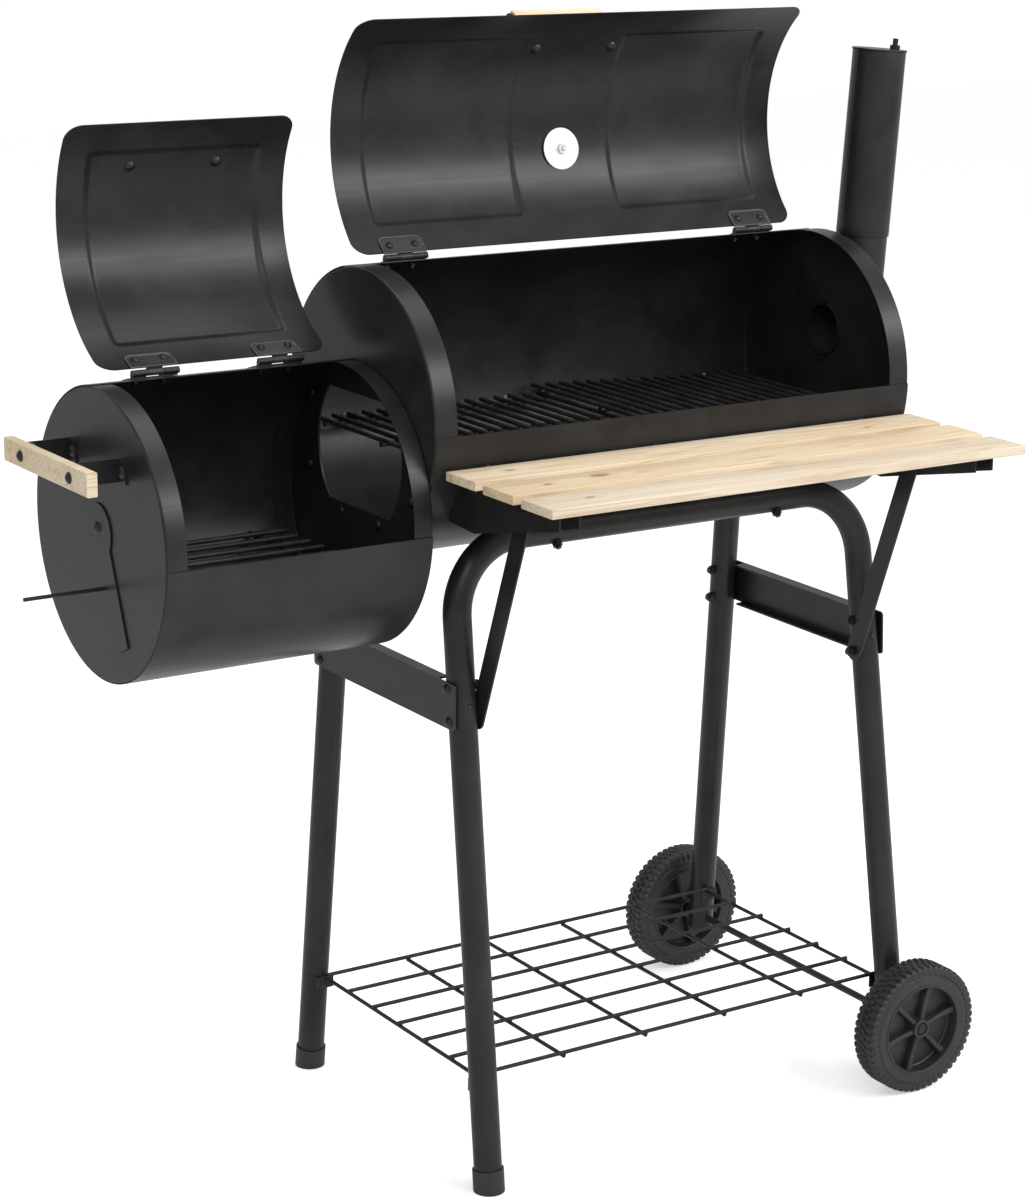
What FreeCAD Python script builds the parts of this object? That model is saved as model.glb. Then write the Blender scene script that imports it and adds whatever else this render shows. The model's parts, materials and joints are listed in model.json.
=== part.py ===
import FreeCAD, Part
import Sketcher
import math
import os

# An offset smoker: a main barrel and a firebox of rolled sheet, each with a curved lid, carried by a
# frame of bent tube with two wheels, a wire shelf, a slatted table and a chimney. Millimetres, +Z up.
# X runs along the barrel from the firebox to the chimney, and the open fronts face -Y.

DOC = FreeCAD.newDocument("OffsetSmoker")
SHEET = DOC.addObject("Spreadsheet::Sheet", "Dims")
VECTOR = FreeCAD.Vector
X_DIRECTION = VECTOR(1, 0, 0)
Y_DIRECTION = VECTOR(0, 1, 0)
Z_DIRECTION = VECTOR(0, 0, 1)


class Size:
    """A number and the spreadsheet expression that gives it, so that a feature can be bound to it."""

    def __init__(self, number, text):
        self.number = float(number)
        self.text = text

    def __add__(self, other):
        return combined(self, "+", other, lambda a, b: a + b)

    def __radd__(self, other):
        return combined(other, "+", self, lambda a, b: a + b)

    def __sub__(self, other):
        return combined(self, "-", other, lambda a, b: a - b)

    def __rsub__(self, other):
        return combined(other, "-", self, lambda a, b: a - b)

    def __mul__(self, other):
        return combined(self, "*", other, lambda a, b: a * b)

    def __rmul__(self, other):
        return combined(other, "*", self, lambda a, b: a * b)

    def __truediv__(self, other):
        return combined(self, "/", other, lambda a, b: a / b)

    def __neg__(self):
        return Size(-self.number, "(-1 * %s)" % self.text)

    def __float__(self):
        return self.number


def sized(value):
    return value if isinstance(value, Size) else Size(value, "%.9g" % value)


def combined(left, sign, right, rule):
    left = sized(left)
    right = sized(right)
    return Size(rule(left.number, right.number), "(%s %s %s)" % (left.text, sign, right.text))


def cosine(angle):
    angle = sized(angle)
    return Size(math.cos(math.radians(angle.number)), "cos(%s)" % angle.text)


def sine(angle):
    angle = sized(angle)
    return Size(math.sin(math.radians(angle.number)), "sin(%s)" % angle.text)


def arc_cosine(ratio):
    return Size(math.degrees(math.acos(ratio.number)), "(acos(%s) / 1 deg)" % ratio.text)


def root(value):
    return Size(math.sqrt(value.number), "sqrt(%s)" % value.text)


def bind(item, field, value):
    item.setExpression(field, sized(value).text)


class Dimensions:
    """The driving dimensions, each a cell of the sheet with its name as alias."""

    def __init__(self):
        self.row = 0

    def add(self, name, number, note):
        self.row += 1
        SHEET.set("A%d" % self.row, note)
        SHEET.set("B%d" % self.row, "%.9g" % number)
        SHEET.setAlias("B%d" % self.row, name)
        setattr(self, name, Size(number, "Dims.%s" % name))


D = Dimensions()
# Sheet metal and fits
D.add("sheet", 1.0, "thickness of the rolled sheet and the end caps")
D.add("strip", 2.0, "thickness of the bent strips, brackets and crossbars")
D.add("seat_gap", 0.2, "gap between seated parts with curved faces")
D.add("face_gap", 0.1, "gap between flat parts that are bolted together")
# Main barrel
D.add("main_radius", 150.0, "outside radius of the main barrel")
D.add("main_length", 605.0, "main barrel over both end caps")
D.add("main_height", 802.0, "height of the main barrel's centre line")
D.add("main_flange", 26.0, "width of the main end caps' turned flange")
D.add("cap_round", 2.5, "rounding of an end cap's outer edge")
D.add("main_front_angle", 180.5, "where the main opening starts, at the front lip")
D.add("main_back_angle", 76.5, "where the main opening ends, behind the top")
# Firebox
D.add("fire_radius", 148.0, "outside radius of the firebox")
D.add("fire_length", 293.5, "firebox over both end caps")
D.add("fire_height", 707.5, "height of the firebox centre line")
D.add("fire_flange", 22.0, "width of the firebox end caps' turned flange")
D.add("fire_front_angle", 182.5, "where the firebox opening starts, at the front lip")
D.add("fire_back_angle", 84.5, "where the firebox opening ends, near the top")
# Passage between the two chambers
D.add("passage_height", 760.0, "height of the passage's centre")
D.add("passage_radius", 86.0, "radius of the passage's round sides")
D.add("passage_half", 60.0, "half the height between the passage's flat top and bottom")
# Lids and hinges
D.add("lid_gap", 2.0, "gap between a chamber and a lid resting over it")
D.add("lid_inset", 20.0, "how far a lid's ends stand in from the end caps' faces")
D.add("lid_corner", 18.0, "radius of a lid's corners")
D.add("main_lid_front", 180.7, "angle of the main lid's free edge when shut")
D.add("main_lid_back", 77.1, "angle of the main lid's hinge edge when shut")
D.add("fire_lid_front", 188.3, "angle of the firebox lid's free edge when shut")
D.add("fire_lid_back", 81.9, "angle of the firebox lid's hinge edge when shut")
D.add("main_pin_rise", 4.2, "main hinge pin's centre outside the barrel")
D.add("fire_pin_rise", 5.7, "firebox hinge pin's centre outside the firebox")
D.add("main_pin_angle", 75.3, "angle of the main hinge pins round the barrel")
D.add("fire_pin_angle", 80.13, "angle of the firebox hinge pins round the firebox")
D.add("main_lid_open", 126.3, "how far the main lid stands open")
D.add("fire_lid_open", 150.5, "how far the firebox lid stands open")
D.add("main_hinge_offset", 225.0, "main hinges' centres from the middle of the barrel")
D.add("fire_hinge_offset", 70.0, "firebox hinges' centres from the middle of the firebox")
D.add("hinge_width", 51.0, "width of a hinge")
D.add("hinge_sheet", 1.4, "thickness of a hinge leaf")
D.add("knuckle_radius", 3.4, "outside radius of a hinge knuckle")
D.add("pin_radius", 1.8, "radius of a hinge pin")
D.add("pin_fit", 0.06, "running clearance round a hinge pin")
D.add("emboss_rise", 2.5, "how far a lid's pressed panels stand out")
D.add("main_panel_side", 33.0, "main lid's end to its pressed panel")
D.add("main_panel_width", 191.0, "width of each pressed panel of the main lid")
D.add("fire_panel_side", 28.5, "firebox lid's end to its pressed panel")
D.add("main_panel_front", 13.2, "angle from the main lid's free edge to its pressed panels")
D.add("main_panel_back", 12.1, "angle from the main lid's hinge edge to its pressed panels")
D.add("fire_panel_front", 12.3, "angle from the firebox lid's free edge to its pressed panel")
D.add("fire_panel_back", 13.1, "angle from the firebox lid's hinge edge to its pressed panel")
# Lid handles
D.add("handle_length", 112.0, "length of a lid's wooden grip")
D.add("handle_width", 24.0, "wider side of a wooden grip")
D.add("handle_depth", 15.0, "narrower side of a wooden grip")
D.add("handle_standoff", 37.0, "lid to the near side of its grip")
D.add("handle_strip", 20.0, "width of a lid handle's bent strip")
D.add("grip_round", 3.0, "rounding of a wooden grip's long edges")
D.add("handle_bolt_half", 48.0, "lid handle bolts from the handle's middle")
D.add("main_handle_angle", 160.3, "angle of the main lid's handle when shut")
D.add("fire_handle_angle", 168.3, "angle of the firebox lid's handle when shut")
# Thermometer
D.add("gauge_angle", 116.8, "angle of the thermometer on the shut main lid")
D.add("gauge_radius", 27.0, "radius of the thermometer's case")
D.add("gauge_depth", 13.0, "depth of the thermometer's case")
D.add("gauge_washer_radius", 22.5, "radius of the thermometer's backing disc inside the lid")
# Chimney
D.add("chimney_rise", 36.5, "chimney hole above the main barrel's centre line")
D.add("elbow_radius", 28.5, "outside radius of the chimney's elbow")
D.add("elbow_run", 3.0, "straight run of the elbow outside the end cap")
D.add("elbow_flange", 38.0, "radius of the elbow's flange on the end cap")
D.add("elbow_neck", 25.0, "how far the elbow reaches into the chimney tube")
D.add("elbow_bend", 41.0, "bend radius of the elbow's centre line")
D.add("chimney_lean", 4.0, "how far the chimney leans outward")
D.add("chimney_wall", 1.2, "wall of the chimney tube and its elbow")
D.add("chimney_disc", 31.0, "radius of the chimney's swivelling disc")
D.add("chimney_start", 945.0, "height of the chimney tube's lower end")
D.add("chimney_length", 203.0, "length of the chimney tube")
D.add("chimney_stud_offset", 22.0, "damper disc's stud from the chimney's centre line")
# Frame
D.add("tube_radius", 15.0, "outside radius of the frame tube")
D.add("tube_wall", 1.2, "wall of the frame tube")
D.add("tube_bend", 77.5, "bend radius of the frame tube's centre line")
D.add("foot_half", 193.1, "feet from the barrel's centre plane, on the floor")
D.add("splay", 6.667, "how far the frames lean in toward the barrel")
D.add("foot_leg_x", 43.0, "foot-side legs from the barrel's left face")
D.add("wheel_leg_x", 593.2, "wheel-side legs' line where it meets the floor")
D.add("wheel_leg_lean", 2.548, "how far the wheel-side legs lean outward at the bottom")
D.add("joint_height", 507.0, "height where the lower legs enter the bent tubes")
D.add("neck_length", 40.0, "length of a lower leg's neck inside the bent tube")
D.add("saddle_left", 162.0, "left barrel bolts from the barrel's left face")
D.add("saddle_right", 447.0, "right barrel bolts from the barrel's left face")
D.add("crossbar_height", 517.5, "height of the crossbars' middle")
D.add("crossbar_depth", 49.0, "depth of a crossbar")
D.add("crossbar_half", 146.0, "half the length of a crossbar")
D.add("crossbar_lip", 12.0, "width of a crossbar's turned lips")
D.add("crossbar_bolt", 17.0, "crossbar bolts above and below its middle")
D.add("foot_cap_height", 24.0, "height of the plastic foot caps")
D.add("wheel_leg_end", 62.0, "height of the wheel-side legs' lower ends")
# Wheels
D.add("wheel_radius", 75.2, "radius of a wheel")
D.add("wheel_width", 35.0, "width of a wheel")
D.add("rim_radius", 49.5, "radius of the recess in a wheel's face")
D.add("hub_radius", 11.0, "radius of a wheel's hub")
D.add("axle_radius", 4.0, "radius of the axle")
D.add("wheel_fit", 0.08, "running clearance of a wheel on its axle")
D.add("wheel_gap", 9.0, "gap between a leg and its wheel, filled by a spacer")
# Wire shelf
D.add("shelf_height", 118.0, "height of the wire shelf's long wires")
D.add("wire_radius", 2.2, "radius of the shelf wires")
D.add("shelf_left", 48.5, "left cross wire from the barrel's left face")
D.add("shelf_pitch", 106.8, "pitch of the shelf's cross wires")
D.add("shelf_wire_pitch", 54.0, "pitch of the shelf's long wires")
# Table
D.add("table_height", 766.8, "height of the table's top")
D.add("slat_length", 595.0, "length of a table slat")
D.add("slat_left", 12.0, "left end of the table from the barrel's left face")
D.add("slat_width", 55.0, "width of a table slat")
D.add("slat_gap", 13.8, "gap between table slats")
D.add("slat_thickness", 9.5, "thickness of a table slat")
D.add("table_back", 149.2, "back edge of the table from the barrel's centre plane")
D.add("bracket_front", 322.0, "front end of a table bracket")
D.add("bracket_depth", 18.0, "depth of a table bracket at its front")
D.add("bracket_width", 25.0, "width of a table bracket's top flange")
D.add("strut_width", 23.5, "width of a table strut")
D.add("strut_reach", 225.0, "strut's upper bolt from the barrel's centre plane")
D.add("strut_top", 742.0, "height of the strut's upper bolt")
# Grates
D.add("grate_height", 769.3, "height of the cooking grate's bars")
D.add("grate_bar", 2.5, "radius of a cooking grate's bars")
D.add("grate_half", 136.0, "half the length of a cooking grate's bars")
D.add("grate_width", 284.0, "width of a cooking grate")
D.add("grate_left", 24.0, "left end of the left cooking grate from the barrel's left face")
D.add("grate_overlap", 11.0, "how far the right grate lies over the left one")
D.add("coal_height", 657.0, "height of the charcoal grate's bars")
D.add("coal_bar", 2.8, "radius of the charcoal grate's bars")
D.add("coal_pitch", 27.5, "pitch of the charcoal grate's bars")
D.add("coal_length", 236.0, "length of the charcoal grate's bars")
# Firebox end: side handle and air damper
D.add("side_handle_length", 190.0, "length of the firebox's side handle")
D.add("side_handle_rise", 74.8, "side handle above the firebox centre line")
D.add("side_handle_standoff", 44.5, "side handle's grip from the end cap")
D.add("side_handle_depth", 11.0, "depth of the side handle's grip")
D.add("side_bolt_half", 56.0, "side handle's bolts from its middle")
D.add("damper_pivot_rise", 8.5, "air damper's pivot above the firebox centre line")
D.add("damper_top_drop", 4.5, "centre of the air damper's round top below its pivot")
D.add("damper_top", 29.0, "radius of the air damper round its pivot")
D.add("damper_reach", 125.0, "length of the air damper from its pivot")
D.add("damper_half", 62.0, "half the width of the air damper's lower edge")
D.add("damper_neck_half", 25.0, "half the width of the air damper where it leaves its round top")
D.add("damper_neck_drop", 17.0, "drop from the pivot to the air damper's neck")
D.add("damper_sheet", 1.5, "thickness of the air damper")
D.add("damper_gap", 0.3, "gap between the air damper and the end cap")
D.add("damper_rod_drop", 59.5, "air damper's rod handle below its pivot")
D.add("damper_rod_side", 12.0, "air damper's rod handle in front of its pivot")
D.add("damper_rod_length", 86.0, "length of the air damper's rod handle")
D.add("damper_rod_radius", 2.0, "radius of the air damper's rod handle")
D.add("air_hole", 11.0, "radius of the air holes behind the damper")
D.add("air_hole_reach", 82.0, "air holes from the damper's pivot")
D.add("air_hole_turn", 19.0, "angle between the air holes")
# Fasteners
D.add("bolt_radius", 3.0, "radius of a bolt's shank")
D.add("bolt_clearance", 0.25, "clearance of a bolt in its hole")
DOC.recompute()

MADE = []


def made(item, label):
    """Register an object as one of the smoker's pieces under its own label."""
    item.Label = label
    MADE.append(item)
    return item


# ---------------------------------------------------------------- sketching and solid features

def new_body(name):
    return DOC.addObject("PartDesign::Body", name)


def origin_plane(body, role):
    for feature in body.Origin.OriginFeatures:
        if feature.Role == role:
            return feature
    raise ValueError(role)


def new_sketch(body, role, offset=0.0):
    """A sketch on one of the body's own planes, moved along the plane's normal by offset."""
    sketch = body.newObject("Sketcher::SketchObject", "%sSketch" % body.Name)
    sketch.AttachmentSupport = [(origin_plane(body, role), "")]
    sketch.MapMode = "FlatFace"
    sketch.AttachmentOffset = FreeCAD.Placement(VECTOR(0, 0, float(offset)), FreeCAD.Rotation())
    bind(sketch, "AttachmentOffset.Base.z", offset)
    return sketch


def hold(sketch, kind, places, value):
    """Add a dimension to a sketch and bind it to the sheet."""
    index = sketch.addConstraint(Sketcher.Constraint(kind, *places, float(value)))
    bind(sketch, "Constraints[%d]" % index, value)


def hold_point(sketch, curve, end, across, up):
    hold(sketch, "DistanceX", (-1, 1, curve, end), across)
    hold(sketch, "DistanceY", (-1, 1, curve, end), up)


def draw_circle(sketch, across, up, radius):
    centre = VECTOR(float(across), float(up), 0)
    curve = sketch.addGeometry(Part.Circle(centre, Z_DIRECTION, float(radius)), False)
    hold_point(sketch, curve, 3, across, up)
    hold(sketch, "Radius", (curve,), radius)
    return curve


def draw_polygon(sketch, points):
    """A closed outline of straight lines through points, each point bound."""
    places = [VECTOR(float(across), float(up), 0) for across, up in points]
    first = None
    count = len(points)
    for index in range(count):
        line = Part.LineSegment(places[index], places[(index + 1) % count])
        curve = sketch.addGeometry(line, False)
        first = curve if first is None else first
    for index in range(count):
        following = first + (index + 1) % count
        sketch.addConstraint(Sketcher.Constraint("Coincident", first + index, 2, following, 1))
        hold_point(sketch, first + index, 1, *points[index])


def draw_rectangle(sketch, left, bottom, right, top):
    draw_polygon(sketch, [(left, bottom), (right, bottom), (right, top), (left, top)])


def draw_arc(sketch, across, up, radius, start, finish):
    """An arc bound by its centre, radius and the angles of its two ends."""
    centre = VECTOR(float(across), float(up), 0)
    circle = Part.Circle(centre, Z_DIRECTION, float(radius))
    angles = [math.radians(float(start)), math.radians(float(finish))]
    curve = sketch.addGeometry(Part.ArcOfCircle(circle, *angles), False)
    hold_point(sketch, curve, 3, across, up)
    hold(sketch, "Radius", (curve,), radius)
    for end, angle in ((1, start), (2, finish)):
        if abs(math.cos(math.radians(float(angle)))) > 0.7:
            hold(sketch, "DistanceY", (-1, 1, curve, end), up + radius * sine(angle))
        else:
            hold(sketch, "DistanceX", (-1, 1, curve, end), across + radius * cosine(angle))
    return curve


def draw_join(sketch, start_curve, start_end, finish_curve, finish_end):
    """A straight line between the ends of two curves."""
    start = sketch.getPoint(start_curve, start_end)
    finish = sketch.getPoint(finish_curve, finish_end)
    curve = sketch.addGeometry(Part.LineSegment(start, finish), False)
    sketch.addConstraint(Sketcher.Constraint("Coincident", curve, 1, start_curve, start_end))
    sketch.addConstraint(Sketcher.Constraint("Coincident", curve, 2, finish_curve, finish_end))
    return curve


def draw_sector(sketch, inner, outer, start, finish):
    """A ring sector round the sketch's origin, from start to finish in degrees."""
    outside = draw_arc(sketch, 0.0, 0.0, outer, start, finish)
    inside = draw_arc(sketch, 0.0, 0.0, inner, start, finish)
    draw_join(sketch, outside, 1, inside, 1)
    draw_join(sketch, outside, 2, inside, 2)


def draw_strap(sketch, first, second, radius):
    """A strip with round ends, from centre to centre."""
    run = math.degrees(math.atan2(float(second[1] - first[1]), float(second[0] - first[0])))
    curves = []
    for place, turn in ((first, 90.0), (second, -90.0)):
        centre = VECTOR(float(place[0]), float(place[1]), 0)
        circle = Part.Circle(centre, Z_DIRECTION, float(radius))
        start = math.radians(run + turn)
        curve = sketch.addGeometry(Part.ArcOfCircle(circle, start, start + math.pi), False)
        hold_point(sketch, curve, 3, *place)
        curves.append(curve)
    hold(sketch, "Radius", (curves[0],), radius)
    sketch.addConstraint(Sketcher.Constraint("Equal", curves[0], curves[1]))
    for index in (0, 1):
        here = curves[index]
        there = curves[1 - index]
        points = [sketch.getPoint(here, 2), sketch.getPoint(there, 1)]
        line = sketch.addGeometry(Part.LineSegment(*points), False)
        sketch.addConstraint(Sketcher.Constraint("Tangent", here, 2, line, 1))
        sketch.addConstraint(Sketcher.Constraint("Tangent", line, 2, there, 1))


def pad(body, sketch, length):
    """Solid from a sketch, along its plane's normal."""
    feature = body.newObject("PartDesign::Pad", "%sPad" % body.Name)
    feature.Profile = sketch
    bind(feature, "Length", length)
    return feature


def pocket(body, sketch, length):
    """Cut along the sketch plane's normal, and make sure that something was cut."""
    before = solid_volume(body)
    feature = body.newObject("PartDesign::Pocket", "%sPocket" % body.Name)
    feature.Profile = sketch
    feature.Reversed = True
    bind(feature, "Length", length)
    DOC.recompute()
    if solid_volume(body) > before - 1e-3:
        raise RuntimeError("nothing cut in %s" % body.Name)
    return feature


def solid_volume(item):
    DOC.recompute()
    return item.Shape.Volume


def revolve(body, sketch, axis="V_Axis"):
    feature = body.newObject("PartDesign::Revolution", "%sTurned" % body.Name)
    feature.Profile = sketch
    feature.ReferenceAxis = (sketch, [axis])
    feature.Angle = 360.0
    return feature


def fillet(body, base, chosen, radius):
    """Round the edges of the body's last feature that the test picks."""
    DOC.recompute()
    names = ["Edge%d" % (index + 1) for index, edge in enumerate(base.Shape.Edges) if chosen(edge)]
    if not names:
        raise RuntimeError("no edges to round in %s" % body.Name)
    feature = body.newObject("PartDesign::Fillet", "%sRounded" % body.Name)
    feature.Base = (base, names)
    bind(feature, "Radius", radius)
    return feature


def runs_along(direction):
    """A test for straight edges along a direction."""
    def test(edge):
        if len(edge.Vertexes) != 2 or not isinstance(edge.Curve, Part.Line):
            return False
        return abs(abs(edge.Curve.Direction.dot(direction)) - 1) < 1e-6
    return test


def place(item, base=(0, 0, 0), rotation=None):
    spot = VECTOR(*[float(value) for value in base])
    item.Placement = FreeCAD.Placement(spot, rotation or FreeCAD.Rotation())


def turned_about_x(degrees):
    return FreeCAD.Rotation(X_DIRECTION, float(degrees))


# ---------------------------------------------------------------- bolts and their holes

# Heights and sizes of heads and nuts, as shares of the radius beside them
NUT_HEIGHT = 1.6
NUT_SIZE = 1.9
DOME_HEIGHT = 0.6
HEX_HEIGHT = 0.75
BOLT_TAIL = 0.9
HOLE_OVERRUN = 4.0


class Bolt:
    """A bolt by the middle of its head's seat, its direction and the thickness it clamps."""

    def __init__(self, seat, along, grip, radius=None, head=2.0, nut=True, head_kind="dome", tail=None):
        self.seat = seat
        self.along = VECTOR(along).normalize()
        self.grip = float(grip)
        self.radius = float(radius or D.bolt_radius)
        self.head = head * self.radius
        self.nut = nut
        self.head_kind = head_kind
        self.tail = BOLT_TAIL * self.radius if tail is None else tail

    def shift(self, distance):
        return self.seat + self.along * distance

    def solid(self):
        back = -self.along
        gap = float(D.seat_gap)
        reach = self.grip + gap
        if self.nut:
            reach += gap + NUT_HEIGHT * self.radius + self.tail
        shank = Part.makeCylinder(self.radius, reach, self.shift(-gap), self.along)
        if self.head_kind == "hex":
            height = HEX_HEIGHT * self.head
            washer = Part.makeCylinder(1.2 * self.head, 0.25 * height, self.shift(-gap), back)
            top = washer.fuse(hexagon(self.head, height, self.shift(-gap), back))
        else:
            height = DOME_HEIGHT * self.head
            ball = (self.head * self.head + height * height) / (2 * height)
            slab = Part.makeCylinder(1.2 * self.head, height, self.shift(-gap), back)
            top = slab.common(Part.makeSphere(ball, self.shift(ball - height - gap), back))
        bolt = shank.fuse(top)
        if self.nut:
            nut_seat = self.shift(self.grip + gap)
            bolt = bolt.fuse(hexagon(NUT_SIZE * self.radius, NUT_HEIGHT * self.radius, nut_seat, self.along))
        return bolt.removeSplitter()

    def hole(self):
        radius = self.radius + float(D.bolt_clearance)
        return Part.makeCylinder(radius, self.grip + 2 * HOLE_OVERRUN, self.shift(-HOLE_OVERRUN), self.along)


def hexagon(radius, height, base, along):
    """A six-sided prism with its far corners turned off, as a nut or a bolt's head."""
    corners = []
    for step in range(7):
        turn = math.radians(60 * step)
        corners.append(VECTOR(radius * math.cos(turn), radius * math.sin(turn), 0))
    prism = Part.Face(Part.makePolygon(corners)).extrude(VECTOR(0, 0, height))
    prism = prism.common(Part.makeCone(radius + 0.9 * height, 0.9 * radius, height))
    prism.Placement = FreeCAD.Placement(base, FreeCAD.Rotation(Z_DIRECTION, along))
    return prism


def bolt_group(label, bolts):
    """All bolts of one kind as one piece of separate solids, set where they are driven."""
    item = DOC.addObject("Part::Feature", label)
    item.Shape = Part.makeCompound([bolt.solid() for bolt in bolts])
    return made(item, label)


def drilled(base, label, bolts):
    """A piece with the bolts' holes cut through it."""
    tool = DOC.addObject("Part::Feature", "%s_holes" % label)
    tool.Shape = Part.makeCompound([bolt.hole() for bolt in bolts])
    cut = DOC.addObject("Part::Cut", "%s_drilled" % label)
    cut.Base = base
    cut.Tool = tool
    DOC.recompute()
    if cut.Shape.Volume > base.Shape.Volume - 1e-3:
        raise RuntimeError("no hole cut in %s" % label)
    return made(cut, label)


def around(centre_height, radius, angle, along=0.0):
    """A point at an angle round a barrel's centre line; 90 is the top and 180 the front."""
    turn = math.radians(float(angle))
    across = float(radius) * math.cos(turn)
    up = float(radius) * math.sin(turn)
    return VECTOR(float(along), across, float(centre_height) + up)


def outward(angle):
    turn = math.radians(float(angle))
    return VECTOR(0, math.cos(turn), math.sin(turn))


# ---------------------------------------------------------------- the two chambers

FIRE_RIGHT = -D.face_gap
FIRE_LEFT = FIRE_RIGHT - D.fire_length
CHIMNEY_HOLE = D.elbow_radius + D.seat_gap
FULL_TURN = 360.0


class Chamber:
    """The measures of the main barrel or of the firebox that its pieces share."""

    def __init__(self, name, left, length, height, radius, flange, front, back, pin_rise, pin_angle, lid_open):
        self.name = name
        self.left = sized(left)
        self.length = length
        self.height = height
        self.radius = radius
        self.flange = flange
        self.front = front
        self.back = back
        self.cap = radius - D.sheet - D.seat_gap
        self.pin_radius = radius + pin_rise
        self.pin_angle = pin_angle
        self.lid_open = lid_open
        self.middle = self.left + length / 2

    def point(self, radius, angle, along=0.0):
        return around(self.height, radius, angle, along)

    def base(self, along=0.0):
        return (float(along), 0.0, float(self.height))

    def pin(self, along=0.0):
        return self.point(self.pin_radius, self.pin_angle, along)

    def open_turn(self):
        """How a piece of the lid moves from shut to its place in the photograph."""
        pin = self.pin()
        rotation = turned_about_x(-float(self.lid_open))
        return FreeCAD.Placement(VECTOR(), rotation, pin)


MAIN = Chamber(
    "main", 0.0, D.main_length, D.main_height, D.main_radius, D.main_flange,
    D.main_front_angle, D.main_back_angle, D.main_pin_rise, D.main_pin_angle, D.main_lid_open,
)
FIRE = Chamber(
    "fire", FIRE_LEFT, D.fire_length, D.fire_height, D.fire_radius, D.fire_flange,
    D.fire_front_angle, D.fire_back_angle, D.fire_pin_rise, D.fire_pin_angle, D.fire_lid_open,
)


def chamber_shell(chamber, name):
    """Rolled sheet open toward the front and top, wrapped over both end caps."""
    body = new_body(name)
    sketch = new_sketch(body, "YZ_Plane", D.sheet)
    draw_sector(sketch, chamber.radius - D.sheet, chamber.radius, chamber.front, chamber.back + FULL_TURN)
    pad(body, sketch, chamber.length - 2 * D.sheet)
    place(body, chamber.base(chamber.left))
    return body


def ring_at(along, radius):
    """A test for the round edge of a radius at a place along X."""
    def test(edge):
        curve = edge.Curve
        if not isinstance(curve, Part.Circle) or abs(curve.Radius - radius) > 1e-3:
            return False
        return abs(curve.Center.x - along) < 1e-3
    return test


def end_cap(chamber, name, faces_right):
    """A disc with its rim turned inward under the shell."""
    body = new_body(name)
    if faces_right:
        face = chamber.length - D.sheet
        rim = chamber.length - chamber.flange
    else:
        face = sized(0.0)
        rim = sized(0.0)
    sketch = new_sketch(body, "YZ_Plane", face)
    draw_circle(sketch, 0.0, 0.0, chamber.cap)
    pad(body, sketch, D.sheet)
    sketch = new_sketch(body, "YZ_Plane", rim)
    draw_circle(sketch, 0.0, 0.0, chamber.cap)
    draw_circle(sketch, 0.0, 0.0, chamber.cap - D.sheet)
    flange = pad(body, sketch, chamber.flange)
    outer_plane = float(chamber.length) if faces_right else 0.0
    inner_plane = float(face) if faces_right else float(D.sheet)
    rounded = fillet(body, flange, ring_at(outer_plane, float(chamber.cap)), D.cap_round)
    fillet(body, rounded, ring_at(inner_plane, float(chamber.cap - D.sheet)), D.cap_round - D.sheet)
    place(body, chamber.base(chamber.left))
    return body


def cut_passage(body, chamber, offset):
    """The opening between the chambers: a circle cut flat at top and bottom."""
    rise = D.passage_height - chamber.height
    low = math.degrees(math.asin(float(D.passage_half) / float(D.passage_radius)))
    sketch = new_sketch(body, "YZ_Plane", offset)
    curves = []
    for start, finish in ((-low, low), (180.0 - low, 180.0 + low)):
        circle = Part.Circle(VECTOR(0, float(rise), 0), Z_DIRECTION, float(D.passage_radius))
        angles = [math.radians(start), math.radians(finish)]
        curve = sketch.addGeometry(Part.ArcOfCircle(circle, *angles), False)
        hold_point(sketch, curve, 3, 0.0, rise)
        hold(sketch, "Radius", (curve,), D.passage_radius)
        curves.append(curve)
    right, left = curves
    hold(sketch, "DistanceY", (-1, 1, right, 1), rise - D.passage_half)
    hold(sketch, "DistanceY", (-1, 1, right, 2), rise + D.passage_half)
    hold(sketch, "DistanceY", (-1, 1, left, 1), rise + D.passage_half)
    hold(sketch, "DistanceY", (-1, 1, left, 2), rise - D.passage_half)
    draw_join(sketch, right, 2, left, 1)
    draw_join(sketch, left, 2, right, 1)
    pocket(body, sketch, 3 * D.sheet)


def cut_round(body, offset, across, up, radius, length=None):
    sketch = new_sketch(body, "YZ_Plane", offset)
    draw_circle(sketch, across, up, radius)
    pocket(body, sketch, length or 3 * D.sheet)


main_shell = chamber_shell(MAIN, "MainShell")
main_cap_left = end_cap(MAIN, "MainCapLeft", False)
main_cap_right = end_cap(MAIN, "MainCapRight", True)
fire_shell = chamber_shell(FIRE, "FireShell")
fire_cap_left = end_cap(FIRE, "FireCapLeft", False)
fire_cap_right = end_cap(FIRE, "FireCapRight", True)
cut_passage(main_cap_left, MAIN, -D.sheet)
cut_passage(fire_cap_right, FIRE, D.fire_length - 2 * D.sheet)
cut_round(main_cap_right, D.main_length - 2 * D.sheet, 0.0, D.chimney_rise, CHIMNEY_HOLE)

for air_turn in (-D.air_hole_turn, sized(0.0), D.air_hole_turn):
    air_across = D.air_hole_reach * sine(air_turn)
    air_up = D.damper_pivot_rise - D.air_hole_reach * cosine(air_turn)
    cut_round(fire_cap_left, -D.sheet, air_across, air_up, D.air_hole)


# ---------------------------------------------------------------- lids

# Degrees of metal left along a pressed panel's curved ends
PANEL_EDGE = 0.4
CORNER_DEPTH = 22.0
CORNER_MARGIN = 6.0


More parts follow.
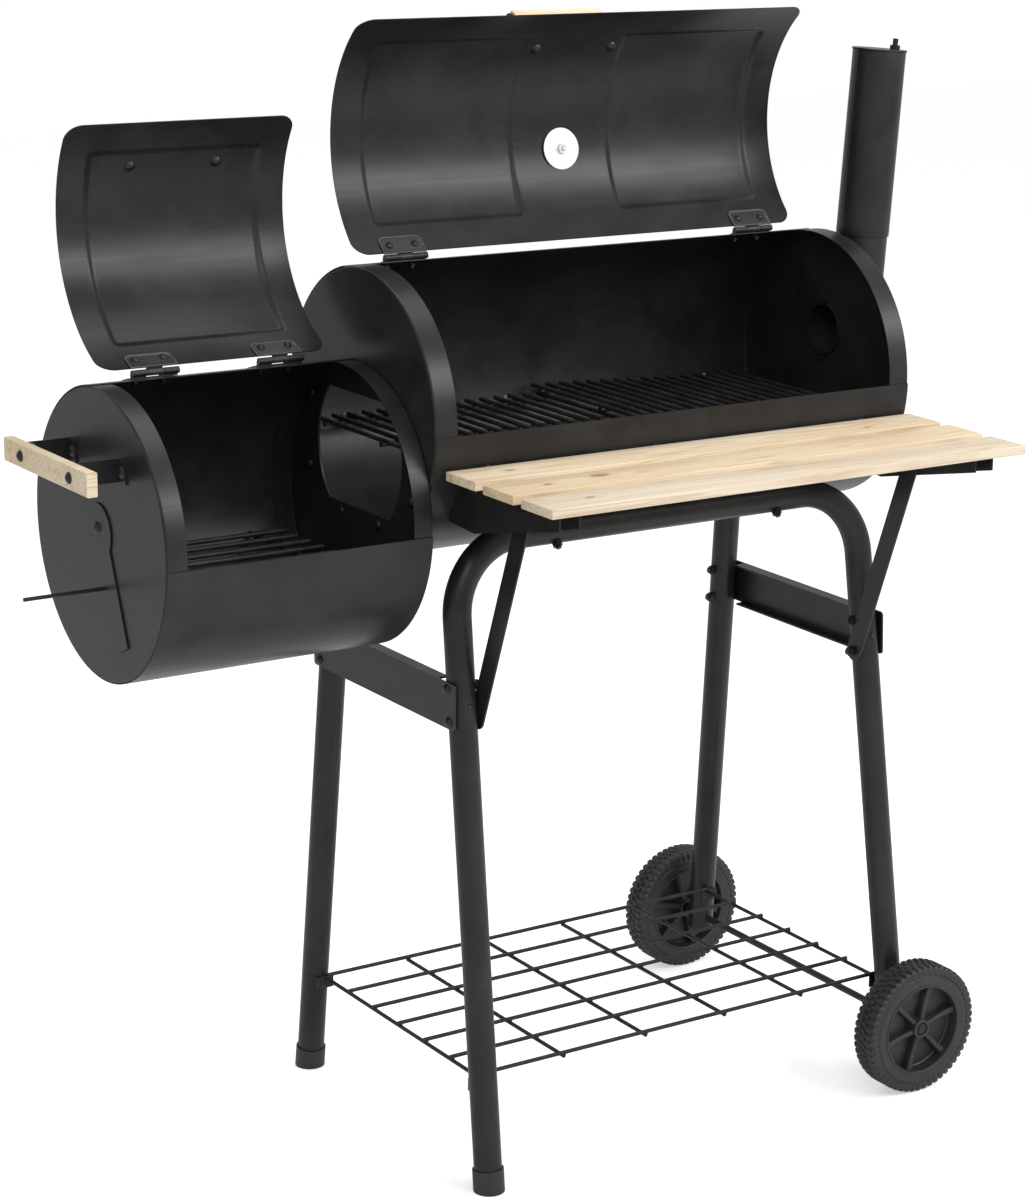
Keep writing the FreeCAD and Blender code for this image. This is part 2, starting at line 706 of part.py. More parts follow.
def lid(chamber, name, front, back, low, high, panels):
    """A curved lid with panels pressed outward, drawn shut."""
    body = new_body(name)
    inner = chamber.radius + D.lid_gap
    outer = inner + D.sheet
    length = chamber.length - 2 * D.lid_inset
    sketch = new_sketch(body, "YZ_Plane", D.lid_inset)
    draw_sector(sketch, inner, outer, back, front)
    pad(body, sketch, length)
    for start, width in panels:
        sketch = new_sketch(body, "YZ_Plane", D.lid_inset + start)
        draw_sector(sketch, inner + D.sheet / 2, outer + D.emboss_rise, low, high)
        pad(body, sketch, width)
        sketch = new_sketch(body, "YZ_Plane", D.lid_inset + start + D.sheet)
        draw_sector(sketch, inner - D.sheet, inner + D.emboss_rise, low + PANEL_EDGE, high - PANEL_EDGE)
        pocket(body, sketch, width - 2 * D.sheet)
    place(body, chamber.base(chamber.left))
    return body


class LidCorner:
    """What is cut away to round one corner of a lid, taken out along the sheet's own normal there."""

    def __init__(self, chamber, along, edge_angle, inward_side, inward_turn):
        middle_radius = float(chamber.radius + D.lid_gap)
        radius = float(D.lid_corner)
        self.radius = radius
        self.inward_side = inward_side
        self.inward_turn = inward_turn
        self.angle = float(edge_angle) + inward_turn * math.degrees(radius / middle_radius)
        low = middle_radius - CORNER_DEPTH / 2
        self.centre = chamber.point(low, self.angle, float(along) + inward_side * radius)

    def hole(self):
        reach = self.radius + CORNER_MARGIN
        block = Part.makeBox(reach, reach, CORNER_DEPTH, VECTOR(-reach if self.inward_side > 0 else 0, 0, 0))
        round_part = Part.makeCylinder(self.radius, CORNER_DEPTH)
        tool = block.cut(round_part)
        if self.inward_turn < 0:
            tool = tool.mirror(VECTOR(), Y_DIRECTION)
        turn = self.angle - 90.0
        tool.Placement = FreeCAD.Placement(self.centre, turned_about_x(turn)).multiply(tool.Placement)
        return tool


def lid_corners(chamber, front, back):
    left = chamber.left + D.lid_inset
    right = chamber.left + chamber.length - D.lid_inset
    corners = []
    for along, side in ((left, 1), (right, -1)):
        corners.append(LidCorner(chamber, along, front, side, -1))
        corners.append(LidCorner(chamber, along, back, side, 1))
    return corners


MAIN_LID_LENGTH = D.main_length - 2 * D.lid_inset
FIRE_LID_LENGTH = D.fire_length - 2 * D.lid_inset
main_panels = [
    (D.main_panel_side, D.main_panel_width),
    (MAIN_LID_LENGTH - D.main_panel_side - D.main_panel_width, D.main_panel_width),
]
fire_panels = [(D.fire_panel_side, FIRE_LID_LENGTH - 2 * D.fire_panel_side)]
main_low = D.main_lid_back + D.main_panel_back
main_high = D.main_lid_front - D.main_panel_front
fire_low = D.fire_lid_back + D.fire_panel_back
fire_high = D.fire_lid_front - D.fire_panel_front
main_lid = lid(MAIN, "MainLid", D.main_lid_front, D.main_lid_back, main_low, main_high, main_panels)
fire_lid = lid(FIRE, "FireLid", D.fire_lid_front, D.fire_lid_back, fire_low, fire_high, fire_panels)


# ---------------------------------------------------------------- hinges

HINGE_SPLIT = 0.3
BARREL_LEAF_REACH = 34.0
LID_LEAF_REACH = 24.0
LEAF_LIFT = 2.7
MAIN_SCREW_RUN = 13.2
FIRE_SCREW_RUN = 16.4
SCREW_SHARES = (0.2, 0.8)
SCREW_RADIUS = 2.0


class Hinge:
    """A hinge across a chamber's edge, drawn with its pin along local X at the pin's own place."""

    def __init__(self, chamber, centre):
        self.chamber = chamber
        self.left = centre - D.hinge_width / 2
        self.third = D.hinge_width / 3

    def angle(self, run):
        """Angle round the chamber at an arc distance in front of the pin."""
        return self.chamber.pin_angle + sized(run) * 180.0 / (math.pi * self.chamber.radius)

    def leaf(self, body, base, start, finish, neck_start, neck_finish, spans):
        sketch = new_sketch(body, "YZ_Plane", 0.0)
        angles = sorted((self.angle(start), self.angle(finish)), key=float)
        draw_sector(sketch, base, base + D.hinge_sheet, *angles)
        pad(body, sketch, D.hinge_width)
        pin_across = self.chamber.pin_radius * cosine(self.chamber.pin_angle)
        pin_up = self.chamber.pin_radius * sine(self.chamber.pin_angle)
        for offset, width in spans:
            sketch = new_sketch(body, "YZ_Plane", offset)
            angles = sorted((self.angle(neck_start), self.angle(neck_finish)), key=float)
            draw_sector(sketch, base, self.chamber.pin_radius, *angles)
            pad(body, sketch, width)
            sketch = new_sketch(body, "YZ_Plane", offset)
            draw_circle(sketch, pin_across, pin_up, D.knuckle_radius)
            pad(body, sketch, width)
        sketch = new_sketch(body, "YZ_Plane", -D.sheet)
        draw_circle(sketch, pin_across, pin_up, D.pin_radius + D.pin_fit)
        pocket(body, sketch, D.hinge_width + 2 * D.sheet)
        place(body, self.chamber.base(self.left))
        return body

    def barrel_leaf(self, name):
        body = new_body(name)
        base = self.chamber.radius + D.seat_gap
        width = self.third - HINGE_SPLIT
        spans = [(sized(0.0), width), (2 * self.third + HINGE_SPLIT, width)]
        neck = -LEAF_LIFT - D.hinge_sheet
        return self.leaf(body, base, -BARREL_LEAF_REACH, -LEAF_LIFT, neck, -LEAF_LIFT, spans)

    def lid_leaf(self, name):
        body = new_body(name)
        base = self.chamber.radius + D.lid_gap - D.seat_gap - D.hinge_sheet
        spans = [(self.third, self.third)]
        neck = LEAF_LIFT + D.hinge_sheet
        return self.leaf(body, base, LEAF_LIFT, LID_LEAF_REACH, LEAF_LIFT, neck, spans)

    def pin(self, name):
        body = new_body(name)
        sketch = new_sketch(body, "YZ_Plane", 0.0)
        draw_circle(sketch, 0.0, 0.0, D.pin_radius)
        pad(body, sketch, D.hinge_width)
        place(body, self.chamber.pin(self.left))
        return body

    def screws(self, run, seat_radius, inward):
        """Two screws across the hinge at an arc distance from the pin."""
        angle = self.angle(run)
        along = -outward(angle) if inward else outward(angle)
        grip = D.hinge_sheet + D.seat_gap + D.sheet
        result = []
        for share in SCREW_SHARES:
            seat = self.chamber.point(seat_radius, angle, self.left + share * D.hinge_width)
            result.append(Bolt(seat, along, grip, radius=SCREW_RADIUS))
        return result


hinges = []
for centre in (MAIN.middle - D.main_hinge_offset, MAIN.middle + D.main_hinge_offset):
    hinges.append(Hinge(MAIN, centre))
for centre in (FIRE.middle - D.fire_hinge_offset, FIRE.middle + D.fire_hinge_offset):
    hinges.append(Hinge(FIRE, centre))

for hinge in hinges:
    barrel_seat = hinge.chamber.radius + D.seat_gap + D.hinge_sheet
    lid_seat = hinge.chamber.radius + D.lid_gap - D.seat_gap - D.hinge_sheet
    hinge.barrel_screws = hinge.screws(-BARREL_LEAF_REACH / 2, barrel_seat, True)
    lid_run = MAIN_SCREW_RUN if hinge.chamber is MAIN else FIRE_SCREW_RUN
    hinge.lid_screws = hinge.screws(lid_run, lid_seat, False)


def gathered(items, label):
    """Several separate solids as one piece."""
    group = DOC.addObject("Part::Compound", label)
    group.Links = items
    DOC.recompute()
    return group


def drilled_base(base, name, bolts):
    """A solid with holes, before it takes its place among the pieces."""
    item = drilled(base, name, bolts)
    MADE.remove(item)
    return item


def hinge_pieces(chamber, word):
    own = [hinge for hinge in hinges if hinge.chamber is chamber]
    barrel_leaves = []
    lid_leaves = []
    pins = []
    for index, hinge in enumerate(own):
        name = "%sHinge%d" % (word, index)
        barrel_leaf = hinge.barrel_leaf(name + "Barrel")
        lid_leaf = hinge.lid_leaf(name + "Lid")
        barrel_leaves.append(drilled_base(barrel_leaf, name + "BarrelLeaf", hinge.barrel_screws))
        lid_leaves.append(drilled_base(lid_leaf, name + "LidLeaf", hinge.lid_screws))
        pins.append(hinge.pin(name + "Pin"))
    made(gathered(barrel_leaves, word + "BarrelLeaves"), "%s_hinge_barrel_leaves" % word)
    leaves = made(gathered(lid_leaves, word + "LidLeaves"), "%s_hinge_lid_leaves" % word)
    return leaves, pins


# ---------------------------------------------------------------- lid handles and thermometer

# A foot reaches this far past its bolt, and a grip's end screw this far into the wood
FOOT_MARGIN = 9.0
END_SCREW_DEPTH = 16.0
END_SCREW_RADIUS = 2.2


class LidHandle:
    """A wooden grip across two bent strips, drawn upright over the chamber's centre line."""

    def __init__(self, chamber, angle, rise):
        self.chamber = chamber
        self.angle = angle
        self.surface = chamber.radius + D.lid_gap + D.sheet + rise
        self.grip_bottom = self.surface + D.handle_standoff

    def set_in_place(self, item, along=0.0):
        place(item, self.chamber.base(along), turned_about_x(float(self.angle) - 90.0))

    def grip(self, name):
        body = new_body(name)
        half = D.handle_width / 2
        sketch = new_sketch(body, "YZ_Plane", -D.handle_length / 2)
        draw_rectangle(sketch, -half, self.grip_bottom, half, self.grip_bottom + D.handle_depth)
        block = pad(body, sketch, D.handle_length)
        fillet(body, block, runs_along(X_DIRECTION), D.grip_round)
        self.set_in_place(body, self.chamber.middle)
        return body

    def bracket(self, name, side):
        """An upright strip past the end of the grip, with its foot under the grip."""
        body = new_body(name)
        foot = self.surface + D.seat_gap
        end = D.handle_length / 2 + D.face_gap
        foot_length = end - D.handle_bolt_half + FOOT_MARGIN
        half_turn = D.handle_strip / 2 * 180.0 / (math.pi * self.surface)
        foot_start = D.handle_bolt_half - FOOT_MARGIN if side > 0 else -end - D.strip
        sketch = new_sketch(body, "YZ_Plane", foot_start)
        draw_sector(sketch, foot, foot + D.strip, 90.0 - half_turn, 90.0 + half_turn)
        pad(body, sketch, foot_length + D.strip)
        radius = D.handle_strip / 2
        sketch = new_sketch(body, "YZ_Plane", end if side > 0 else -end - D.strip)
        top = self.grip_bottom + D.handle_depth + D.strip
        draw_strap(sketch, (sized(0.0), foot + radius), (sized(0.0), top - radius), radius)
        pad(body, sketch, D.strip)
        self.set_in_place(body, self.chamber.middle)
        return body

    def foot_bolts(self):
        result = []
        for side in (-1, 1):
            along = self.chamber.middle + side * D.handle_bolt_half
            seat = self.chamber.point(self.surface - D.sheet, self.angle, along)
            result.append(Bolt(seat, outward(self.angle), D.sheet + D.seat_gap + D.strip))
        return result

    def grip_screws(self):
        result = []
        for side in (-1, 1):
            end = self.chamber.middle + side * (D.handle_length / 2 + D.face_gap + D.strip)
            seat = self.chamber.point(self.grip_bottom + D.handle_depth / 2, self.angle, end)
            depth = D.strip + END_SCREW_DEPTH
            result.append(Bolt(seat, -side * X_DIRECTION, depth, radius=END_SCREW_RADIUS, nut=False))
        return result


GAUGE_WALL = 1.2
GAUGE_LIP = 1.6
GAUGE_STEM = sized(3.2)
DIAL_HEIGHT = 5.0
DIAL_THICK = 0.8
GLASS_THICK = 1.6
GLASS_SINK = 1.0
PROBE_LENGTH = 12.0
PROBE_NECK = 6.0
PROBE_NUT = 5.0


class Gauge:
    """A dial thermometer held in the main lid by its threaded stem."""

    def __init__(self, chamber, angle):
        self.chamber = chamber
        self.angle = angle
        surface = chamber.radius + D.lid_gap + D.sheet
        self.back = surface + D.seat_gap
        inner = surface - D.sheet
        across = D.gauge_washer_radius
        self.washer_top = root(inner * inner - across * across) - D.seat_gap
        self.washer_bottom = self.washer_top - D.sheet

    def turned(self, name, points):
        """A round piece turned about the gauge's axis from (radius, height) points."""
        body = new_body(name)
        sketch = new_sketch(body, "XZ_Plane", 0.0)
        draw_polygon(sketch, points)
        revolve(body, sketch)
        place(body, self.chamber.base(self.chamber.middle), turned_about_x(float(self.angle) - 90.0))
        return body

    def case(self, name):
        radius = D.gauge_radius
        back = self.back
        front = back + D.gauge_depth
        hole = GAUGE_STEM + D.seat_gap
        return self.turned(name, [
            (hole, back), (radius, back), (radius, front), (radius - GAUGE_LIP, front),
            (radius - GAUGE_LIP, back + GAUGE_WALL), (hole, back + GAUGE_WALL),
        ])

    def disc(self, name, low, high):
        """A plain disc that fits inside the case."""
        radius = D.gauge_radius - GAUGE_LIP - D.seat_gap
        return self.turned(name, [(sized(0.0), low), (radius, low), (radius, high), (sized(0.0), high)])

    def dial(self, name):
        low = self.back + GAUGE_WALL + DIAL_HEIGHT
        return self.disc(name, low, low + DIAL_THICK)

    def glass(self, name):
        high = self.back + D.gauge_depth - GLASS_SINK
        return self.disc(name, high - GLASS_THICK, high)

    def stem(self, name):
        """The threaded stem, its collar behind the dial and its nut against the washer."""
        zero = sized(0.0)
        low = self.washer_bottom - D.face_gap
        collar = self.back + GAUGE_WALL + D.face_gap
        dial = self.back + GAUGE_WALL + DIAL_HEIGHT - D.face_gap
        tip = GAUGE_STEM / 2
        neck = GAUGE_STEM * 0.7
        nut = GAUGE_STEM * 1.45
        wide = GAUGE_STEM * 2.2
        return self.turned(name, [
            (zero, low - PROBE_LENGTH), (tip, low - PROBE_LENGTH), (neck, low - PROBE_NECK),
            (nut, low - PROBE_NUT), (nut, low), (GAUGE_STEM, low), (GAUGE_STEM, collar),
            (wide, collar), (wide, dial), (zero, dial),
        ])

    def washer(self, name):
        hole = GAUGE_STEM + D.seat_gap
        return self.turned(name, [
            (hole, self.washer_bottom), (D.gauge_washer_radius, self.washer_bottom),
            (D.gauge_washer_radius, self.washer_top), (hole, self.washer_top),
        ])

    def lid_hole(self):
        """The stem's hole through the lid, as a fastener's hole."""
        seat = self.chamber.point(self.back, self.angle, self.chamber.middle)
        return Bolt(seat, -outward(self.angle), D.sheet + D.seat_gap, radius=float(GAUGE_STEM))


def finish_lid(chamber, word, sheet_body, corners, handle, gauge):
    """Drill a lid, build what rides on it and stand all of it open."""
    own = [hinge for hinge in hinges if hinge.chamber is chamber]
    hinge_screws = [screw for hinge in own for screw in hinge.lid_screws]
    foot_bolts = handle.foot_bolts()
    grip_screws = handle.grip_screws()
    lid_holes = hinge_screws + foot_bolts + corners
    if gauge:
        lid_holes = lid_holes + [gauge.lid_hole()]
    riders = [drilled(sheet_body, "%s_lid" % word, lid_holes)]
    riders.append(drilled(handle.grip(word + "Grip"), "%s_lid_grip" % word, grip_screws))
    brackets = [handle.bracket(word + "BracketLeft", -1), handle.bracket(word + "BracketRight", 1)]
    both = gathered(brackets, word + "Brackets")
    riders.append(drilled(both, "%s_lid_handle_brackets" % word, foot_bolts + grip_screws))
    riders.append(bolt_group("%s_lid_bolts" % word, hinge_screws + foot_bolts + grip_screws))
    if gauge:
        riders.append(made(gauge.case("GaugeCase"), "thermometer_case"))
        riders.append(made(gauge.dial("GaugeDial"), "thermometer_dial"))
        riders.append(made(gauge.glass("GaugeGlass"), "thermometer_glass"))
        riders.append(made(gauge.stem("GaugeStem"), "thermometer_stem"))
        riders.append(made(gauge.washer("GaugeWasher"), "thermometer_washer"))
    return riders


main_leaves, main_pins = hinge_pieces(MAIN, "main")
fire_leaves, fire_pins = hinge_pieces(FIRE, "firebox")
main_corners = lid_corners(MAIN, D.main_lid_front, D.main_lid_back)
fire_corners = lid_corners(FIRE, D.fire_lid_front, D.fire_lid_back)
main_handle = LidHandle(MAIN, D.main_handle_angle, 0.0)
fire_handle = LidHandle(FIRE, D.fire_handle_angle, D.emboss_rise)
main_riders = finish_lid(MAIN, "main", main_lid, main_corners, main_handle, Gauge(MAIN, D.gauge_angle))
fire_riders = finish_lid(FIRE, "firebox", fire_lid, fire_corners, fire_handle, None)
for chamber, riders in ((MAIN, main_riders + [main_leaves]), (FIRE, fire_riders + [fire_leaves])):
    for rider in riders:
        rider.Placement = chamber.open_turn().multiply(rider.Placement)
made(gathered(main_pins + fire_pins, "HingePins"), "hinge_pins")
barrel_leaf_screws = [screw for hinge in hinges for screw in hinge.barrel_screws]


# ---------------------------------------------------------------- frame

LEAN_IN = D.splay
FRONT = -1
BACK = 1


def leaning(side, along=0.0, lean=0.0):
    """The place of a piece drawn upright on the floor, leaned in toward the barrel and out at its foot."""
    base = VECTOR(0, side * float(D.foot_half), 0)
    spot = FreeCAD.Placement(base, turned_about_x(side * float(LEAN_IN)))
    spread = FreeCAD.Placement(VECTOR(float(along), 0, 0), FreeCAD.Rotation(Y_DIRECTION, -float(lean)))
    return spot.multiply(spread)


def slope(angle):
    return math.tan(math.radians(float(angle)))


def leg_centre(side, wheel_side, height):
    """The centre of a leg at a height above the floor."""
    across = side * (float(D.foot_half) - slope(LEAN_IN) * float(height))
    if not wheel_side:
        return VECTOR(float(D.foot_leg_x), across, float(height))
    up = float(height) / math.cos(math.radians(float(LEAN_IN)))
    return VECTOR(float(D.wheel_leg_x) - slope(D.wheel_leg_lean) * up, across, float(height))


# Where the bent tube meets the shell: along its own leaning plane, the shell and tube radii apart.
plane_offset = D.foot_half * cosine(LEAN_IN) - D.main_height * sine(LEAN_IN)
cradle_reach = MAIN.radius + D.seat_gap + D.tube_radius
up_to_axis = D.foot_half * sine(LEAN_IN) + D.main_height * cosine(LEAN_IN)
TUBE_TOP = up_to_axis - root(cradle_reach * cradle_reach - plane_offset * plane_offset)
JOINT = D.joint_height / cosine(LEAN_IN)
BEND_LEVEL = TUBE_TOP - D.tube_bend
LEFT_BEND = D.foot_leg_x + D.tube_bend
bend_offset = (D.tube_bend + BEND_LEVEL * sine(D.wheel_leg_lean)) / cosine(D.wheel_leg_lean)
RIGHT_BEND = D.wheel_leg_x - bend_offset


def bent_tube(name, side):
    """The tube under the barrel, bent down into both its legs."""
    body = new_body(name)
    path = new_sketch(body, "XZ_Plane", 0.0)
    end_across = D.wheel_leg_x - JOINT * sine(D.wheel_leg_lean) / cosine(D.wheel_leg_lean)
    out = math.radians(float(D.wheel_leg_lean))
    level = float(BEND_LEVEL)
    bend = float(D.tube_bend)
    left = VECTOR(float(LEFT_BEND), level, 0)
    right = VECTOR(float(RIGHT_BEND), level, 0)
    start = VECTOR(float(D.foot_leg_x), float(JOINT), 0)
    finish = VECTOR(float(end_across), float(JOINT), 0)
    left_low = left - VECTOR(bend, 0, 0)
    left_high = left + VECTOR(0, bend, 0)
    right_high = right + VECTOR(0, bend, 0)
    right_low = right + VECTOR(bend * math.cos(out), bend * math.sin(out), 0)
    left_leg = path.addGeometry(Part.LineSegment(start, left_low), False)
    circle = Part.Circle(left, Z_DIRECTION, bend)
    left_arc = path.addGeometry(Part.ArcOfCircle(circle, math.pi / 2, math.pi), False)
    top = path.addGeometry(Part.LineSegment(left_high, right_high), False)
    circle = Part.Circle(right, Z_DIRECTION, bend)
    right_arc = path.addGeometry(Part.ArcOfCircle(circle, out, math.pi / 2), False)
    right_leg = path.addGeometry(Part.LineSegment(right_low, finish), False)
    hold_point(path, left_leg, 1, D.foot_leg_x, JOINT)
    hold_point(path, left_arc, 3, LEFT_BEND, BEND_LEVEL)
    hold(path, "Radius", (left_arc,), D.tube_bend)
    hold_point(path, right_arc, 3, RIGHT_BEND, BEND_LEVEL)
    hold(path, "Radius", (right_arc,), D.tube_bend)
    hold_point(path, right_leg, 2, end_across, JOINT)
    joints = [
        (left_leg, 2, left_arc, 2), (left_arc, 1, top, 1), (top, 2, right_arc, 2),
        (right_arc, 1, right_leg, 1),
    ]
    for joint in joints:
        path.addConstraint(Sketcher.Constraint("Tangent", *joint))
    profile = new_sketch(body, "XY_Plane", JOINT)
    draw_circle(profile, D.foot_leg_x, 0.0, D.tube_radius)
    draw_circle(profile, D.foot_leg_x, 0.0, D.tube_radius - D.tube_wall)
    pipe = body.newObject("PartDesign::AdditivePipe", "%sPipe" % name)
    pipe.Profile = profile
    pipe.Spine = (path, [])
    body.Placement = leaning(side)
    return body


def lower_leg(name, side, wheel_side):
    """A straight tube with its top drawn in to enter the bent tube."""
    body = new_body(name)
    low = (D.wheel_leg_end if wheel_side else D.sheet * 2 + 1.0) / cosine(LEAN_IN)
    top = JOINT / cosine(D.wheel_leg_lean) if wheel_side else JOINT
    outer = D.tube_radius
    inner = outer - D.tube_wall
    neck = inner - D.seat_gap
    # The shoulder under the neck slopes in between these two drops below the joint
    sketch = new_sketch(body, "XZ_Plane", 0.0)
    draw_polygon(sketch, [
        (inner, low), (outer, low), (outer, top - D.face_gap), (neck, top - D.face_gap),
        (neck, top + D.neck_length), (neck - D.tube_wall, top + D.neck_length),
        (neck - D.tube_wall, top - 6.0), (inner, top - 10.0),
    ])
    revolve(body, sketch)
    if wheel_side:
        body.Placement = leaning(side, D.wheel_leg_x, D.wheel_leg_lean)
    else:
        body.Placement = leaning(side, D.foot_leg_x)
    return body


def foot_cap(name, side):
    """A plastic cup on a foot-side leg, cut level with the floor."""
    body = new_body(name)
    low = -D.tube_radius * slope(LEAN_IN) - 1.0
    inner = D.tube_radius + D.seat_gap
    outer = inner + 1.6
    bottom = D.sheet * 2
    sketch = new_sketch(body, "XZ_Plane", 0.0)
    draw_polygon(sketch, [
        (sized(0.0), low), (outer, low), (outer, D.foot_cap_height), (inner, D.foot_cap_height),
        (inner, bottom), (sized(0.0), bottom),
    ])
    revolve(body, sketch)
    body.Placement = leaning(side, D.foot_leg_x)
    return body


class FloorCut:
    """Everything below the floor, as what a foot cap loses."""

    def hole(self):
        across = float(D.foot_half + D.tube_radius)
        depth = float(D.foot_cap_height)
        return Part.makeBox(4 * across, 4 * across, depth, VECTOR(-2 * across, -2 * across, -depth))


CROSSBAR_ROUND = 4.0


def crossbar(name, wheel_side):
    """A plate across two legs with its long edges turned in between them."""
    body = new_body(name)
    low = D.crossbar_height - D.crossbar_depth / 2
    high = D.crossbar_height + D.crossbar_depth / 2
    near = D.tube_radius + D.seat_gap
    sketch = new_sketch(body, "YZ_Plane", near)
    draw_rectangle(sketch, -D.crossbar_half, low, D.crossbar_half, high)
    plate = pad(body, sketch, D.strip)
    fillet(body, plate, runs_along(X_DIRECTION), CROSSBAR_ROUND)
    half = leg_centre(BACK, wheel_side, high).y - float(D.tube_radius) - CROSSBAR_ROUND
    for edge in (low, high - D.strip):
        sketch = new_sketch(body, "YZ_Plane", near - D.crossbar_lip)
        draw_rectangle(sketch, -half, edge, half, edge + D.strip)
        pad(body, sketch, D.crossbar_lip + D.strip)
    if wheel_side:
        lean = math.degrees(math.atan(slope(D.wheel_leg_lean) / math.cos(math.radians(float(LEAN_IN)))))
        base = VECTOR(float(D.wheel_leg_x), 0, 0)
        body.Placement = FreeCAD.Placement(base, FreeCAD.Rotation(Y_DIRECTION, -lean))
    else:
        base = VECTOR(float(D.foot_leg_x), 0, 0)
        body.Placement = FreeCAD.Placement(base, FreeCAD.Rotation(Z_DIRECTION, 180))
    return body


def leg_outward(wheel_side):
    if not wheel_side:
        return -X_DIRECTION
    lean = slope(D.wheel_leg_lean) / math.cos(math.radians(float(LEAN_IN)))
    return VECTOR(1, 0, lean).normalize()


WHEEL_SIDE_STRUT_GAP = 0.9
crossbar_bolts = []
for wheel_side in (False, True):
    for side in (FRONT, BACK):
        for rise in (-1, 1):
            height = float(D.crossbar_height) + rise * float(D.crossbar_bolt)
            out = leg_outward(wheel_side)
            stack = D.tube_radius + D.seat_gap + D.strip
            seat = leg_centre(side, wheel_side, height) + out * float(stack)
            grip = float(stack + D.tube_radius)
            if side == FRONT and rise == -1:
                grip += float(D.strip) + (WHEEL_SIDE_STRUT_GAP + 0.35 if wheel_side else float(D.seat_gap))
            crossbar_bolts.append(Bolt(seat, -out, grip))

saddle_bolts = []
for side in (FRONT, BACK):
    cradle_y = side * (float(D.foot_half) - float(TUBE_TOP * sine(LEAN_IN)))
    cradle_z = float(TUBE_TOP * cosine(LEAN_IN)) - float(D.main_height)
    direction = VECTOR(0, cradle_y, cradle_z).normalize()
    for along in (D.saddle_left, D.saddle_right):
        seat = VECTOR(float(along), 0, float(D.main_height)) + direction * float(MAIN.radius - D.sheet)
        saddle_bolts.append(Bolt(seat, direction, D.sheet + D.seat_gap + 2 * D.tube_radius, head_kind="hex"))

BUTTON_RISE = 9.0
button_pins = []
for wheel_side in (False, True):
    for side in (FRONT, BACK):
        normal = turned_about_x(side * float(LEAN_IN)).multVec(VECTOR(0, side, 0))
        seat = leg_centre(side, wheel_side, D.joint_height + BUTTON_RISE) + normal * float(D.tube_radius)
        grip = 2 * D.tube_wall + D.seat_gap
        button_pins.append(Bolt(seat, -normal, grip, radius=SCREW_RADIUS, head=1.6, nut=False))

SHELF_TAB = 2.0
SHELF_SCREW_DROP = 10.5
shelf_wire_half = 3 * D.shelf_wire_pitch
shelf_screws = []
for wheel_side in (False, True):
    for side in (FRONT, BACK):
        height = float(D.shelf_height) - SHELF_SCREW_DROP
        centre = leg_centre(side, wheel_side, height)
        seat = VECTOR(centre.x, side * (float(shelf_wire_half + D.wire_radius) - SHELF_TAB), height)
        shelf_screws.append(Bolt(seat, VECTOR(0, side, 0), 16.0, radius=END_SCREW_RADIUS, head=1.6, nut=False))

AXLE_HEIGHT = D.wheel_radius
axle_centre = leg_centre(BACK, True, AXLE_HEIGHT)
AXLE_X = axle_centre.x
leg_outer_y = axle_centre.y + float(D.tube_radius) / math.cos(math.radians(float(LEAN_IN)))
WHEEL_NEAR = leg_outer_y + float(D.wheel_gap)
WHEEL_FAR = WHEEL_NEAR + float(D.wheel_width)
HUB_SINK = 2.0
HUB_POCKET = 8.0
HUB_POCKET_RADIUS = sized(7.5)
HUB_FLOOR = WHEEL_FAR - HUB_SINK - HUB_POCKET
SPACER_RADIUS = sized(7.5)
WEB_HALF = sized(4.0)
TYRE_EDGE = 3.0
RIB_COUNT = 6
RIB_HALF = 1.8
RIB_INSET = 5.0


class AxleHole:
    """The axle's hole through both wheel-side legs."""

    def hole(self):
        radius = float(D.axle_radius + D.bolt_clearance)
        return Part.makeCylinder(radius, 600, VECTOR(AXLE_X, -300, float(AXLE_HEIGHT)), Y_DIRECTION)


side_names = {FRONT: "front", BACK: "back"}
frame_fasteners = crossbar_bolts + saddle_bolts + button_pins
for side in (FRONT, BACK):
    tube = bent_tube("BentTube%s" % side_names[side].title(), side)
    drilled(tube, "frame_tube_%s" % side_names[side], frame_fasteners)
for side in (FRONT, BACK):
    for wheel_side, word in ((False, "left"), (True, "right")):
        leg = lower_leg("Leg%s%s" % (side_names[side].title(), word.title()), side, wheel_side)
        drilled(leg, "leg_%s_%s" % (side_names[side], word), frame_fasteners + shelf_screws + [AxleHole()])
caps = [foot_cap("FootCapFront", FRONT), foot_cap("FootCapBack", BACK)]
drilled(gathered(caps, "FootCaps"), "foot_caps", [FloorCut()])
drilled(crossbar("CrossbarLeft", False), "crossbar_left", crossbar_bolts)
drilled(crossbar("CrossbarRight", True), "crossbar_right", crossbar_bolts)


# ---------------------------------------------------------------- axle and wheels

def turned_on_y(body, along):
    """Lay a piece drawn about its own upright axis down along Y."""
    spot = VECTOR(AXLE_X, float(along), float(AXLE_HEIGHT))
    body.Placement = FreeCAD.Placement(spot, turned_about_x(-90.0))


def axle_piece():
    body = new_body("AxleRod")
    half = WHEEL_FAR - HUB_SINK - 0.5
    sketch = new_sketch(body, "XY_Plane", -half)
    draw_circle(sketch, 0.0, 0.0, D.axle_radius)
    pad(body, sketch, sized(2 * half))
    turned_on_y(body, 0.0)
    return made(body, "axle")


def ring(name, side, outer, near, far):
    """A ring round the axle between two distances from the barrel's centre plane."""
    body = new_body(name)
    sketch = new_sketch(body, "XY_Plane", min(side * near, side * far))
    draw_circle(sketch, 0.0, 0.0, outer)
    draw_circle(sketch, 0.0, 0.0, D.axle_radius + D.bolt_clearance)
    pad(body, sketch, sized(far - near))
    turned_on_y(body, 0.0)
    return body


